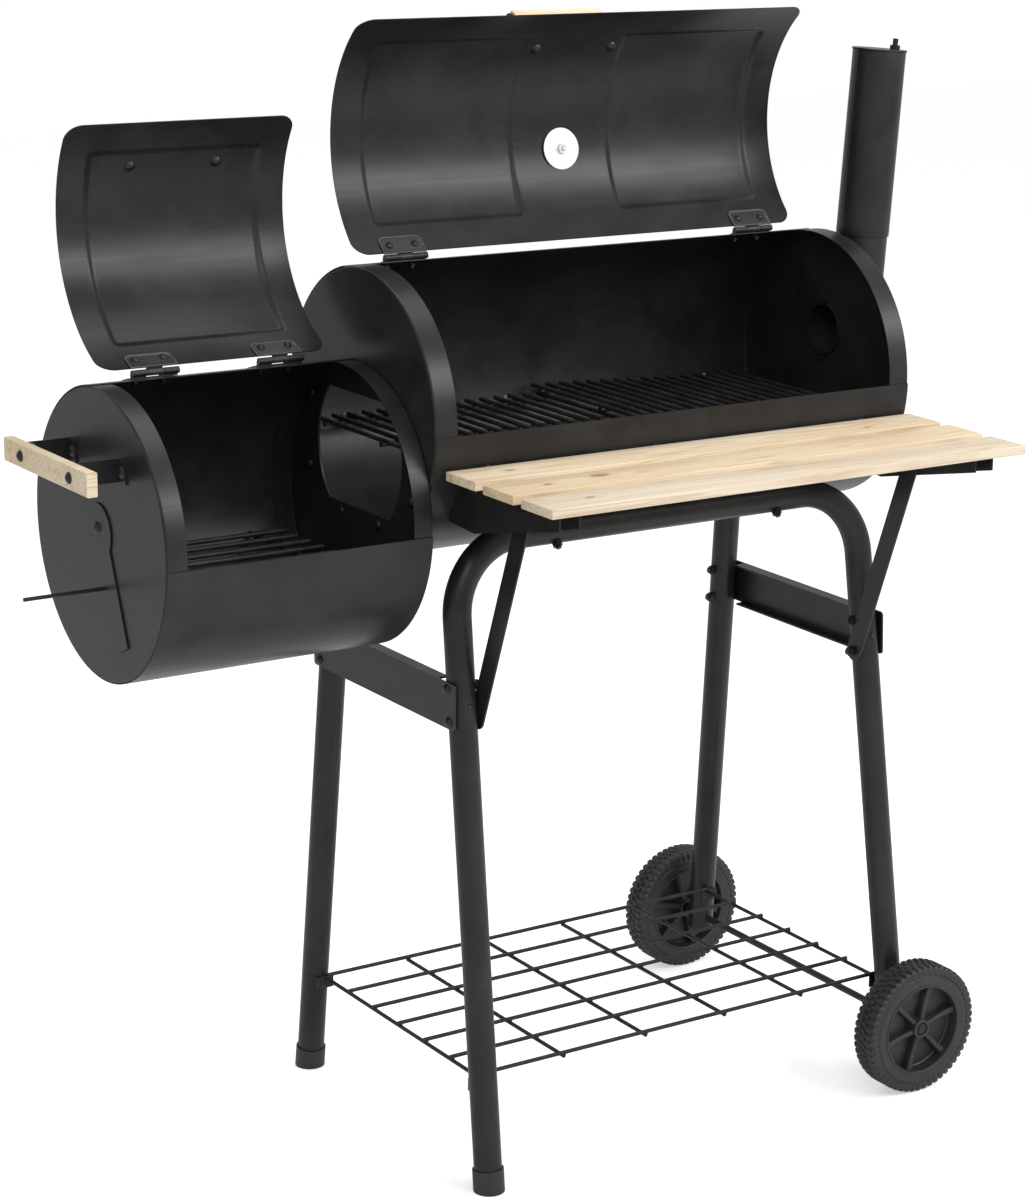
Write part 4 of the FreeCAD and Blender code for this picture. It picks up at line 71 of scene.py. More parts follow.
CAMERA_PLACE = (-1540.76, -2685.76, 1433.31)
CAMERA_YAW = 35.14      # from straight ahead (+Y) towards +X
CAMERA_PITCH = -14.80   # below the horizon
CAMERA_ROLL = 1.23
CAMERA_LENS = 107.24
CAMERA_SENSOR = 36.0
CAMERA_SHIFT = (-0.1171, -0.0093)
CAMERA_REACH = 100.0    # metres


def add_camera():
    yaw, pitch, roll = (math.radians(angle) for angle in (CAMERA_YAW, CAMERA_PITCH, CAMERA_ROLL))
    flat = math.cos(pitch)
    forward = Vector((math.sin(yaw) * flat, math.cos(yaw) * flat, math.sin(pitch)))
    level = Vector((math.cos(yaw), -math.sin(yaw), 0.0))
    upright = level.cross(forward)
    right = level * math.cos(roll) + upright * math.sin(roll)
    up = upright * math.cos(roll) - level * math.sin(roll)
    data = bpy.data.cameras.new("Camera")
    data.sensor_fit = "HORIZONTAL"
    data.sensor_width = CAMERA_SENSOR
    data.lens = CAMERA_LENS
    data.shift_x, data.shift_y = CAMERA_SHIFT
    data.clip_end = CAMERA_REACH
    camera = bpy.data.objects.new("Camera", data)
    bpy.context.scene.collection.objects.link(camera)
    turn = Matrix((right, up, -forward)).transposed().to_4x4()
    camera.matrix_world = Matrix.Translation(at(*CAMERA_PLACE)) @ turn
    bpy.context.scene.camera = camera


# ------------ materials

class Nodes:
    """A short way to write the node tree of a material, or of the world."""

    def __init__(self, name, world=False):
        self.owner = (bpy.data.worlds if world else bpy.data.materials).new(name)
        self.owner.use_nodes = True
        self.output = "ShaderNodeOutputWorld" if world else "ShaderNodeOutputMaterial"
        self.tree = self.owner.node_tree
        self.tree.nodes.clear()

    def node(self, kind, result, inputs=(), **settings):
        """One output of a new node, whose inputs are given as values or as other nodes' outputs."""
        node = self.tree.nodes.new(kind)
        for key, value in settings.items():
            setattr(node, key, value)
        for key, value in dict(inputs).items():
            socket = node.inputs[key]
            if isinstance(value, bpy.types.NodeSocket):
                self.tree.links.new(value, socket)
            else:
                socket.default_value = (*value, 1.0) if socket.type == "RGBA" else value
        return node.outputs[result]

    def coordinates(self, scale=(1.0, 1.0, 1.0), offset=(0.0, 0.0, 0.0)):
        """Object coordinates in metres, stretched and moved."""
        place = self.node("ShaderNodeTexCoord", "Object")
        return self.node("ShaderNodeMapping", "Vector", {"Vector": place, "Location": offset, "Scale": scale})

    def noise(self, vector, scale, detail=3.0, roughness=0.5, distortion=0.0):
        return self.node("ShaderNodeTexNoise", "Fac", {
            "Vector": vector, "Scale": scale, "Detail": detail,
            "Roughness": roughness, "Distortion": distortion})

    def spread(self, value, low, high, to_low=0.0, to_high=1.0):
        """A value between low and high, carried over to the range between to_low and to_high."""
        return self.node("ShaderNodeMapRange", "Result", {
            "Value": value, "From Min": low, "From Max": high, "To Min": to_low, "To Max": to_high})

    def math(self, operation, *values):
        return self.node("ShaderNodeMath", "Value", enumerate(values), operation=operation)

    def vector_math(self, operation, result, *values):
        return self.node("ShaderNodeVectorMath", result, enumerate(values), operation=operation)

    def mix(self, factor, first, second):
        """Two colours mixed; a mix node has its factor on input 0, its colours on 6 and 7."""
        return self.node("ShaderNodeMix", 2, {0: factor, 6: first, 7: second}, data_type="RGBA")

    def ramp(self, value, stops):
        """Greys at given places between 0 and 1."""
        colour = self.node("ShaderNodeValToRGB", "Color", {"Fac": value})
        elements = colour.node.color_ramp.elements
        while len(elements) < len(stops):
            elements.new(0.5)
        for element, (position, level) in zip(elements, stops):
            element.position = position
            element.color = (level, level, level, 1.0)
        return colour

    def bump(self, height, strength, distance, below=None):
        inputs = {"Height": height, "Strength": strength, "Distance": distance}
        if below is not None:
            inputs["Normal"] = below
        return self.node("ShaderNodeBump", "Normal", inputs)

    def principled(self, colour, roughness, normal=None, **values):
        inputs = {key.replace("_", " "): value for key, value in values.items()}
        inputs.update({"Base Color": colour, "Roughness": roughness})
        if normal is not None:
            inputs["Normal"] = normal
        return self.node("ShaderNodeBsdfPrincipled", "BSDF", inputs)

    def surface(self, shader):
        """Show a shader; gives the finished material or world."""
        output = self.tree.nodes.new(self.output)
        self.tree.links.new(shader, output.inputs["Surface"])
        return self.owner

    def shader(self, *arguments, **values):
        return self.surface(self.principled(*arguments, **values))


def times(colour, factor, plus=0.0):
    """A colour made lighter or darker."""
    return tuple(part * factor + plus for part in colour)


def grey(level):
    return (level, level, level)


def painted_steel(name, colour, roughness):
    """Sprayed satin paint on sheet: fine peel, faint waves, rubbed and dusty patches."""
    nodes = Nodes(name)
    place = nodes.coordinates()
    peel = nodes.noise(place, scale=640.0, detail=2.0, roughness=0.6)
    waves = nodes.noise(place, scale=9.0, detail=2.0, roughness=0.4)
    streaks = nodes.noise(nodes.coordinates((5.0, 240.0, 240.0)), scale=1.0, roughness=0.6)
    patches = nodes.noise(place, scale=16.0, detail=5.0, roughness=0.62, distortion=0.4)
    specks = nodes.noise(place, scale=420.0, detail=2.0, roughness=0.7)
    base = nodes.mix(nodes.spread(patches, 0.35, 0.7), times(colour, 0.82), times(colour, 1.35, 0.003))
    dust = nodes.math("MULTIPLY", nodes.spread(specks, 0.68, 0.8), 0.3)
    base = nodes.mix(dust, base, times(colour, 2.2, 0.01))
    rough = nodes.spread(patches, 0.3, 0.75, roughness - 0.04, roughness + 0.05)
    rough = nodes.math("ADD", rough, nodes.spread(streaks, 0.3, 0.7, -0.035, 0.035))
    normal = nodes.bump(waves, strength=0.25, distance=0.0006)
    normal = nodes.bump(peel, strength=0.09, distance=0.0004, below=normal)
    return nodes.shader(base, rough, normal, Specular_IOR_Level=0.30)


def coated_wire(name, colour, roughness):
    """Dipped or fired coating on wire, a little lumpy and rubbed lighter in places."""
    nodes = Nodes(name)
    place = nodes.coordinates()
    lumps = nodes.noise(place, scale=260.0, roughness=0.6)
    wear = nodes.noise(place, scale=38.0, detail=4.0, roughness=0.6)
    base = nodes.mix(nodes.spread(wear, 0.45, 0.8), colour, times(colour, 2.0, 0.012))
    rough = nodes.spread(wear, 0.3, 0.8, roughness - 0.06, roughness + 0.12)
    normal = nodes.bump(lumps, strength=0.2, distance=0.0005)
    return nodes.shader(base, rough, normal, Specular_IOR_Level=0.35)


def zinc_plate(name, colour, roughness, metallic=1.0):
    """Plated steel with cloudy tone and fine scratches along X."""
    nodes = Nodes(name)
    clouds = nodes.noise(nodes.coordinates(), scale=120.0, detail=4.0, roughness=0.6)
    scratches = nodes.noise(nodes.coordinates((60.0, 900.0, 900.0)), scale=1.0, detail=2.0, roughness=0.6)
    base = nodes.mix(nodes.spread(clouds, 0.35, 0.7), times(colour, 0.8), colour)
    rough = nodes.spread(clouds, 0.3, 0.75, roughness - 0.06, roughness + 0.12)
    return nodes.shader(base, rough, nodes.bump(scratches, strength=0.12, distance=0.0003), Metallic=metallic)


def moulded_plastic(name, colour, roughness):
    """Spark-grained black plastic with scuffs."""
    nodes = Nodes(name)
    place = nodes.coordinates()
    spark = nodes.noise(place, scale=1300.0, detail=2.0, roughness=0.6)
    scuffs = nodes.noise(place, scale=30.0, detail=5.0, roughness=0.65, distortion=0.6)
    base = nodes.mix(nodes.spread(scuffs, 0.5, 0.85), colour, times(colour, 1.9, 0.008))
    rough = nodes.spread(scuffs, 0.3, 0.8, roughness - 0.05, roughness + 0.15)
    return nodes.shader(base, rough, nodes.bump(spark, strength=0.12, distance=0.0003))


PALE_WOOD = (0.82, 0.72, 0.56)
WARM_WOOD = (0.74, 0.60, 0.41)
LATE_WOOD = (0.52, 0.36, 0.21)
STAINED_WOOD = (0.58, 0.41, 0.24)
FIBRE_WOOD = (0.66, 0.50, 0.32)
KNOT_WOOD = (0.30, 0.16, 0.08)
KNOT_BEND = 4.5                 # how many year rings a knot pushes aside
KNOT_SQUEEZE = (0.55, 1.0, 1.0)
KNOT_REACH = 2.6                # in radii of the knot


def closeness_to(nodes, knots):
    """1 at the middle of a knot, 0 beyond its surroundings; a knot's surroundings reach far along X."""
    closeness = None
    for x, y, z, radius in knots:
        place = nodes.node("ShaderNodeTexCoord", "Object")
        away = nodes.vector_math("SUBTRACT", "Vector", place, at(x, y, z))
        squeezed = nodes.vector_math("MULTIPLY", "Vector", away, KNOT_SQUEEZE)
        distance = nodes.vector_math("LENGTH", "Value", squeezed)
        here = nodes.spread(distance, radius * MM * KNOT_REACH, 0.0)
        closeness = here if closeness is None else nodes.math("MAXIMUM", closeness, here)
    return closeness


def pine(name, seed, knots=(), pale=PALE_WOOD, warm=WARM_WOOD):
    """Planed pine with its grain along X and brown knots, each given as its place and radius."""
    nodes = Nodes(name)
    move = (seed * 3.7, seed * 1.9, seed * 5.3)
    bend = nodes.noise(nodes.coordinates((7.0, 7.0, 7.0), move), scale=1.0, detail=2.0)
    rings = nodes.noise(nodes.coordinates((1.1, 26.0, 26.0), move), scale=1.35, detail=1.5, distortion=0.35)
    rings = nodes.math("ADD", nodes.math("MULTIPLY", rings, 13.0), nodes.math("MULTIPLY", bend, 1.3))
    closeness = closeness_to(nodes, knots)
    if closeness is not None:
        rings = nodes.math("ADD", rings, nodes.math("MULTIPLY", closeness, KNOT_BEND))
    late = nodes.ramp(nodes.math("FRACT", rings), [(0.0, 0.0), (0.62, 0.12), (0.9, 1.0), (1.0, 0.0)])
    fibre = nodes.noise(nodes.coordinates((14.0, 900.0, 900.0), move), scale=1.0, roughness=0.6)
    tint = nodes.noise(nodes.coordinates((4.0, 9.0, 9.0), move), scale=1.0, detail=2.0)
    stain = nodes.noise(nodes.coordinates((2.2, 34.0, 34.0), move), scale=1.0, roughness=0.6, distortion=0.8)
    base = nodes.mix(nodes.spread(tint, 0.3, 0.7), pale, warm)
    base = nodes.mix(nodes.math("MULTIPLY", late, 0.68), base, LATE_WOOD)
    base = nodes.mix(nodes.math("MULTIPLY", nodes.spread(stain, 0.50, 0.72), 0.50), base, STAINED_WOOD)
    base = nodes.mix(nodes.math("MULTIPLY", nodes.spread(fibre, 0.42, 0.78), 0.45), base, FIBRE_WOOD)
    if closeness is not None:
        core = nodes.ramp(closeness, [(0.0, 0.0), (0.45, 0.1), (0.66, 0.85), (1.0, 1.0)])
        base = nodes.mix(nodes.math("MULTIPLY", core, 0.8), base, KNOT_WOOD)
    rough = nodes.spread(fibre, 0.3, 0.8, 0.58, 0.74)
    normal = nodes.bump(fibre, strength=0.18, distance=0.0005)
    normal = nodes.bump(late, strength=0.1, distance=0.0003, below=normal)
    return nodes.shader(base, rough, normal, Specular_IOR_Level=0.35)


def flat_glass(name):
    """Clear glass with faint smears."""
    nodes = Nodes(name)
    smear = nodes.noise(nodes.coordinates(), scale=60.0, detail=4.0, roughness=0.6)
    rough = nodes.spread(smear, 0.3, 0.8, 0.02, 0.09)
    return nodes.shader((0.96, 0.97, 0.96), rough, Transmission_Weight=0.96, IOR=1.45)


def enamel(name, colour):
    """A flat printed or fired colour with a slight haze."""
    nodes = Nodes(name)
    haze = nodes.noise(nodes.coordinates(), scale=90.0, roughness=0.6)
    return nodes.shader(nodes.mix(nodes.spread(haze, 0.4, 0.8), colour, times(colour, 0.93)), 0.38)


BLACK = painted_steel("satin_black_paint", (0.0165, 0.0165, 0.0168), 0.33)
WIRE = coated_wire("black_wire", (0.007, 0.007, 0.0072), 0.46)
GRATE = coated_wire("grate_wire", (0.022, 0.022, 0.023), 0.40)
BLACK_ZINC = zinc_plate("black_fasteners", (0.03, 0.03, 0.031), 0.34, 0.5)
ZINC = zinc_plate("zinc", (0.64, 0.64, 0.62), 0.30)
GAUGE = zinc_plate("brushed_case", (0.60, 0.60, 0.60), 0.28)
PLASTIC = moulded_plastic("wheel_plastic", (0.017, 0.017, 0.0175), 0.46)
DIAL = enamel("dial_enamel", (0.86, 0.86, 0.84))
GLASS = flat_glass("dial_glass")
# the same satin black made lighter for the hinge leaves: a painted highlight so they stand out from the lid
LEAF_PAINT = painted_steel("hinge_paint", (0.030, 0.030, 0.030), 0.26)
# pale zinc, less metallic than the other zinc: the plating's own light colour, pushed brighter as a painted
# highlight for the glints the nuts catch
ZINC_WITH_PAINTED_GLINT = zinc_plate("zinc_nuts_with_painted_glint", (0.80, 0.80, 0.78), 0.32, 0.35)
# a painted highlight: the hinge leaves' rims in light grey, where their edges catch the light
RIM_HIGHLIGHT_PAINT = painted_steel("painted_highlight_hinge_edge", (0.11, 0.11, 0.108), 0.30)
# the zinc disc behind the thermometer drawn in flat near-white: its own light metal, made whiter as a painted
# highlight
BACKING_PAINTED_HIGHLIGHT = enamel("backing_disc_painted_highlight", (0.93, 0.93, 0.93))
INK = enamel("dial_ink", (0.03, 0.03, 0.03))
RED = enamel("pointer_red", (0.55, 0.03, 0.02))

SLOT_MATERIAL = {
    "black_paint": BLACK, "wire_black": WIRE, "grate_black": GRATE, "black_zinc": BLACK_ZINC,
    "zinc": ZINC, "gauge_steel": GAUGE, "dial_white": DIAL, "dial_glass": GLASS,
    "wheel_plastic": PLASTIC, "cap_plastic": PLASTIC,
}


def dress_nodes():
    """Every carried-over solid gets the material of its slot, and each wooden one its own grain."""
    slots = {part["node"]: part["material_slot"] for part in frame["record"]["subparts"]}
    for index, (node, piece) in enumerate(sorted(frame["nodes"].items())):
        if slots[node] == "pine":
            material = pine("pine_%s" % node, index + 1.0)
        else:
            material = SLOT_MATERIAL[slots[node]]
        piece.data.materials.clear()
        piece.data.materials.append(material)


# ------------ pieces in mesh code

def make_piece(name, points, faces, material, body, stands_for=(), sharp=32.0):
    """A mesh of points in millimetres that rides on a body and takes the given material."""
    mesh = bpy.data.meshes.new(name)
    mesh.from_pydata([at(*point) for point in points], [], faces)
    mesh.validate()
    draft = bmesh.new()
    draft.from_mesh(mesh)
    bmesh.ops.recalc_face_normals(draft, faces=draft.faces)
    draft.to_mesh(mesh)
    draft.free()
    mesh.polygons.foreach_set("use_smooth", [True] * len(mesh.polygons))
    mesh.set_sharp_from_angle(angle=math.radians(sharp))
    mesh.materials.append(material)
    item = bpy.data.objects.new(name, mesh)
    bpy.context.scene.collection.objects.link(item)
    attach(item, body)
    if stands_for:
        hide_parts(*stands_for)
    return item


class Build:
    """Points and faces of one piece, gathered from turned, bent and extruded forms."""

    def __init__(self):
        self.points = []
        self.faces = []

    def add(self, points, faces, turn=None):
        """Points and the faces between them, placed by an optional matrix."""
        start = len(self.points)
        self.points.extend(turn @ Vector(point) if turn else Vector(point) for point in points)
        self.faces.extend(tuple(start + index for index in face) for face in faces)

    def rings(self, rows, closed_rows=False, caps=(False, False), turn=None):
        """Skin over rows of points, each row a closed ring."""
        count = len(rows[0])
        points = [point for row in rows for point in row]
        faces = []
        last = len(rows) if closed_rows else len(rows) - 1
        for row in range(last):
            following = (row + 1) % len(rows)
            for step in range(count):
                near = (step + 1) % count
                faces.append((row * count + step, row * count + near,
                              following * count + near, following * count + step))
        if caps[0]:
            faces.append(tuple(reversed(range(count))))
        if caps[1]:
            faces.append(tuple(range((len(rows) - 1) * count, len(rows) * count)))
        self.add(points, faces, turn)

    def turned(self, outline, turn=None, sides=48, closed=False, caps=(False, False)):
        """A round form about local Z from (radius, height) pairs."""
        rows = []
        for radius, height in outline:
            row = []
            for step in range(sides):
                angle = 2.0 * math.pi * step / sides
                row.append((radius * math.cos(angle), radius * math.sin(angle), height))
            rows.append(row)
        self.rings(rows, closed, caps, turn)

    def piece(self, name, material, body, slot, stands_for=(), sharp=32.0):
        return make_piece(name, self.points, self.faces, material, body, stands_for, sharp)


# ------------ shapes

def facing(place, direction):
    """A placement whose local Z runs along a direction."""
    turn = Vector(direction).to_track_quat("Z", "Y").to_matrix().to_4x4()
    return Matrix.Translation(Vector(place)) @ turn


def smooth(share):
    """An even rise from 0 to 1 with level ends."""
    share = min(1.0, max(0.0, share))
    return share * share * (3.0 - 2.0 * share)


CLOSEST_LINES = 0.45     # share of the fine step


def lines(stop, step, spots, fine_step, reach):
    """Grid lines from 0 to a length, closer together round the given spots."""
    marks = {0.0, round(stop, 3)}
    count = int(stop / step)
    for index in range(1, count + 1):
        mark = stop * index / count
        if all(abs(mark - spot) > reach for spot in spots):
            marks.add(round(mark, 3))
    for spot in spots:
        steps = int(round(reach / fine_step))
        for index in range(-steps, steps + 1):
            mark = spot + index * fine_step
            if 0.0 < mark < stop:
                marks.add(round(mark, 3))
    kept = spaced(sorted(marks), fine_step * CLOSEST_LINES)
    kept[-1] = round(stop, 3)
    return kept


def spaced(marks, gap):
    """Marks in order, without those that lie closer than a gap to the last one kept."""
    kept = marks[:1]
    for mark in marks[1:]:
        if mark - kept[-1] > gap:
            kept.append(mark)
    return kept


def inside_distance(across, along, rectangle, radius):
    """How far a point lies inside a rectangle with rounded corners; negative outside."""
    low_across, high_across, low_along, high_along = rectangle
    half_across = (high_across - low_across) / 2 - radius
    half_along = (high_along - low_along) / 2 - radius
    over_across = abs(across - (low_across + high_across) / 2) - half_across
    over_along = abs(along - (low_along + high_along) / 2) - half_along
    outside = math.hypot(max(over_across, 0.0), max(over_along, 0.0))
    return radius - outside - min(max(over_across, over_along), 0.0)


def onto_corner(across, along, length, width, radius):
    """Move a point of a rectangle that lies outside its rounded corner onto the round."""
    centre_across = min(max(across, radius), length - radius)
    centre_along = min(max(along, radius), width - radius)
    reach_across = across - centre_across
    reach_along = along - centre_along
    reach = math.hypot(reach_across, reach_along)
    if reach <= radius or reach_across == 0.0 or reach_along == 0.0:
        return across, along
    return centre_across + reach_across * radius / reach, centre_along + reach_along * radius / reach


# ------------ chambers and their lids

SHELL_PAST_CAP = 1.2    # the shell's sheet and its clearance round an end cap


class Chamber:
    """The sizes that a chamber's lid and hinges share, from its end caps and its lid's joint.

    Places round a chamber are angles about its axis, from straight back up to the top and over to
    the front. They hold for the shut lid; swing carries them over to the open one.
    """

    def __init__(self, word, pin_angle, pin_radius):
        low, high = box("%s_end_cap_left" % word)
        self.left = low[0]
        self.length = box("%s_end_cap_right" % word)[1][0] - self.left
        self.middle = self.left + self.length / 2
        self.height = (low[2] + high[2]) / 2
        self.radius = (high[2] - low[2]) / 2 + SHELL_PAST_CAP
        self.pin_angle = pin_angle
        self.pin_radius = pin_radius
        self.hinge = "%s_hinge" % word
        self.lid = "%s_lid" % word
        joints = {joint["name"]: joint for joint in frame["record"]["behaviour"]["joints"]}
        opened = math.radians(joints[self.lid + "_hinge"]["range_deg"][1])
        pin = Vector(self.point(0.0, pin_radius, pin_angle))
        self.swing = Matrix.Translation(pin) @ Matrix.Rotation(-opened, 4, "X") @ Matrix.Translation(-pin)

    def point(self, along, radius, angle):
        turn = math.radians(angle)
        return along, radius * math.cos(turn), self.height + radius * math.sin(turn)


MAIN = Chamber("main", pin_angle=75.3, pin_radius=154.2)
FIRE = Chamber("firebox", pin_angle=80.13, pin_radius=153.7)
SHEET = 1.0
LID_GAP = 2.0
LID_INSET = 20.0
LID_CORNER = 18.0
LID_STEP_ACROSS = 9.0
LID_STEP_ALONG = 6.0
LID_FINE_STEP = 1.5
PANEL_RISE = 2.5
PANEL_CORNER = 9.0
PANEL_SLOPE = 8.0
PANEL_SIDE_REACH = 12.0    # how far the fine grid reaches round a panel's sides and ends
PANEL_END_REACH = 10.0
PANEL_END_STEP = 1.25
CLOSEST_ON_LID = 0.3


def lid_grid(length, coarse, corner_spots, edges, fine_step, reach):
    """The lines of a lid's grid one way, close together at its corners and at its panels' edges."""
    at_corners = lines(length, coarse, corner_spots, LID_FINE_STEP, LID_CORNER)
    at_edges = lines(length, coarse, edges, fine_step, reach)
    marks = sorted(set(at_corners) | set(at_edges))
    return [mark for before, mark in zip([-length] + marks, marks) if mark - before > CLOSEST_ON_LID]


def lid_sheet(chamber, front, back, panels, panel_angles):
    """A rolled lid with soft-edged panels pressed outward and rounded corners, standing open."""
    outer = chamber.radius + LID_GAP + SHEET
    length = chamber.length - 2 * LID_INSET
    width = math.radians(front - back) * outer
    low, high = (math.radians(angle - back) * outer for angle in panel_angles)
    sides = [edge for panel in panels for edge in panel]
    across = lid_grid(length, LID_STEP_ACROSS, [0.0, length], sides, LID_FINE_STEP, PANEL_SIDE_REACH)
    along = lid_grid(width, LID_STEP_ALONG, [0.0, width], [low, high], PANEL_END_STEP, PANEL_END_REACH)
    places = {}
    outer_points = []
    inner_points = []

    def spot(x, s):
        """The number of the grid point at x along the lid and s round it."""
        x, s = onto_corner(x, s, length, width, LID_CORNER)
        key = (round(x, 2), round(s, 2))
        if key not in places:
            rise = 0.0
            for start, stop in panels:
                depth = inside_distance(x, s, (start, stop, low, high), PANEL_CORNER)
                rise = max(rise, PANEL_RISE * smooth(depth / PANEL_SLOPE))
            place = chamber.left + LID_INSET + x
            angle = back + math.degrees(s / outer)
            places[key] = len(outer_points)
            outer_points.append(chamber.point(place, outer + rise, angle))
            inner_points.append(chamber.point(place, outer + rise - SHEET, angle))
        return places[key]

    faces = []
    for column in range(len(across) - 1):
        for row in range(len(along) - 1):
            corners = [
                spot(across[column], along[row]), spot(across[column + 1], along[row]),
                spot(across[column + 1], along[row + 1]), spot(across[column], along[row + 1]),
            ]
            # corners that the round drew onto one point leave a triangle or nothing
            face = [corner for index, corner in enumerate(corners) if corner != corners[index - 1]]
            if len(set(face)) == len(face) and len(face) > 2:
                faces.append(tuple(face))
    count = len(outer_points)
    used = dict.fromkeys((face[index - 1], corner) for face in faces for index, corner in enumerate(face))
    rim = [edge for edge in used if (edge[1], edge[0]) not in used]
    under = [tuple(count + corner for corner in reversed(face)) for face in faces]
    edge_faces = [(second, first, count + first, count + second) for first, second in rim]
    points = [chamber.swing @ Vector(point) for point in outer_points + inner_points]
    make_piece(chamber.lid + "_pressed_sheet", points, faces + under + edge_faces, BLACK,
               chamber.lid, [chamber.lid])


def add_lids():
    """Panels run between distances from the lid's left edge, and between angles round the chamber."""
    lid_sheet(MAIN, front=180.7, back=77.1, panels=[(33.0, 224.0), (341.0, 532.0)], panel_angles=(89.2, 167.5))
    lid_sheet(FIRE, front=188.3, back=81.9, panels=[(28.5, 225.0)], panel_angles=(95.0, 176.0))


# ------------ hinge leaves

HINGE_WIDTH = 51.0
LEAF_THICK = 1.4
LEAF_REACH = 24.0
LEAF_START = 2.7
LEAF_ROUND = 6.0
LEAF_SINK = 0.2
KNUCKLE = 3.4
KNUCKLE_BORE = 1.86
KNUCKLE_EDGE = 0.3
MAIN_HINGE_OFFSET = 225.0   # each way from the lid's middle
FIRE_HINGE_OFFSET = 70.0
# how far in from the leaf's edge, and how high above its inner face
LEAF_DISH = [(3.0, 0.45), (1.9, 0.42), (1.1, 0.0), (0.6, 0.0), (0.12, 0.2), (0.0, 0.7), (0.0, LEAF_THICK)]
# a thin ring round each leaf's rim, drawn in a lighter paint as a painted highlight on its edge
LEAF_HIGHLIGHT_RING = [(1.05, 0.04), (0.9, -0.06), (0.5, -0.08), (0.18, 0.06), (0.3, 0.2)]
BOX_FACES = [(0, 1, 2, 3), (7, 6, 5, 4), (0, 4, 5, 1), (1, 5, 6, 2), (2, 6, 7, 3), (3, 7, 4, 0)]


def leaf_outline():
    """The leaf unrolled: along the pin, and round the chamber from it, with its free corners rounded."""
    outline = [(0.0, LEAF_START), (HINGE_WIDTH, LEAF_START)]
    for start, centre in ((0.0, HINGE_WIDTH - LEAF_ROUND), (90.0, LEAF_ROUND)):
        for step in range(7):
            turn = math.radians(start + 15.0 * step)
            outline.append((centre + LEAF_ROUND * math.cos(turn),
                            LEAF_REACH - LEAF_ROUND + LEAF_ROUND * math.sin(turn)))
    return outline


def leaf_row(chamber, left, base, inset, rise):
    """The leaf's outline drawn in from its edge and bent round the chamber."""
    middle_x = HINGE_WIDTH / 2
    middle_run = (LEAF_START + LEAF_REACH) / 2
    points = []
    for x, run in leaf_outline():
        x += math.copysign(min(inset, abs(middle_x - x)), middle_x - x)
        run += math.copysign(min(inset, abs(middle_run - run)), middle_run - run)
        angle = chamber.pin_angle + math.degrees(run / chamber.radius)
        points.append(chamber.point(left + x, base + rise, angle))
    return points


def add_leaf_neck(build, chamber, left, right, base):
    """The strip that joins a leaf to its knuckle."""
    ends = []
    for along in (left, right):
        corners = []
        for radius, run in ((base + 0.05, LEAF_START - 0.6), (base + 0.05, LEAF_START + LEAF_THICK),
                            (chamber.pin_radius - 0.2, LEAF_START + LEAF_THICK),
                            (chamber.pin_radius - 0.2, LEAF_START - 0.6)):
            angle = chamber.pin_angle + math.degrees(run / chamber.radius)
            corners.append(chamber.point(along, radius, angle))
        ends += corners
    build.add(ends, BOX_FACES, chamber.swing)


def add_leaves(chamber, offset):
    """The lid's two hinge leaves: dished plates with a knuckle each, their inner rims in a much lighter paint
    as a painted highlight.
    """
    build = Build()
    rims = Build()
    base = chamber.radius + LID_GAP - LEAF_SINK - LEAF_THICK
    third = HINGE_WIDTH / 3
    knuckle = [(KNUCKLE_BORE, 0.0), (KNUCKLE - KNUCKLE_EDGE, 0.0), (KNUCKLE, KNUCKLE_EDGE),
               (KNUCKLE, third - KNUCKLE_EDGE), (KNUCKLE - KNUCKLE_EDGE, third), (KNUCKLE_BORE, third)]
    for side in (-1, 1):
        left = chamber.middle + side * offset - HINGE_WIDTH / 2
        dish = [leaf_row(chamber, left, base, inset, rise) for inset, rise in LEAF_DISH]
        build.rings(dish, caps=(True, True), turn=chamber.swing)
        highlight_ring = [leaf_row(chamber, left, base, inset, rise) for inset, rise in LEAF_HIGHLIGHT_RING]
        rims.rings(highlight_ring, closed_rows=True, turn=chamber.swing)
        pin = chamber.point(left + third, chamber.pin_radius, chamber.pin_angle)
        build.turned(knuckle, chamber.swing @ facing(pin, (1, 0, 0)), sides=28, closed=True)
        add_leaf_neck(build, chamber, left + third, left + 2 * third, base)
    rims.piece(chamber.lid + "_hinge_leaf_rims", RIM_HIGHLIGHT_PAINT, chamber.lid, "black_paint")
    build.piece(chamber.lid + "_hinge_leaves", LEAF_PAINT, chamber.lid, "black_paint",
                [chamber.hinge + "_lid_leaves"])


def add_hinges():
    add_leaves(MAIN, MAIN_HINGE_OFFSET)
    add_leaves(FIRE, FIRE_HINGE_OFFSET)


# ------------ wheels

TREAD_RADIUS = box("wheel_front")[1][2] / 2     # the wheels stand on the floor
LUGS = 54
LUG_STEPS = 6
LUG_HALF = 0.34         # half a lug's width and the length of its flank, as shares of the lugs' pitch
LUG_FLANK = 0.09
GROOVE = 2.3
SHOULDER_GROOVE = 2.4
SHOULDER_RISE = 1.2
RECESS_RADIUS = 49.5
WEB_HALF = 2.0
HUB_RADIUS = 11.0
HUB_FAR = 15.5
POCKET_RADIUS = 7.5
POCKET_FLOOR = 7.5
AXLE_HOLE = 4.15
RIBS = 6
FIRST_RIB = 15.0
RIB_HALF = 2.9          # half a rib's width at the hub, what it gains to the rim and loses between
RIB_FLARE = 1.5
RIB_WAIST = 0.5
RIB_TOP = 12.8
RIB_DIP = 1.6


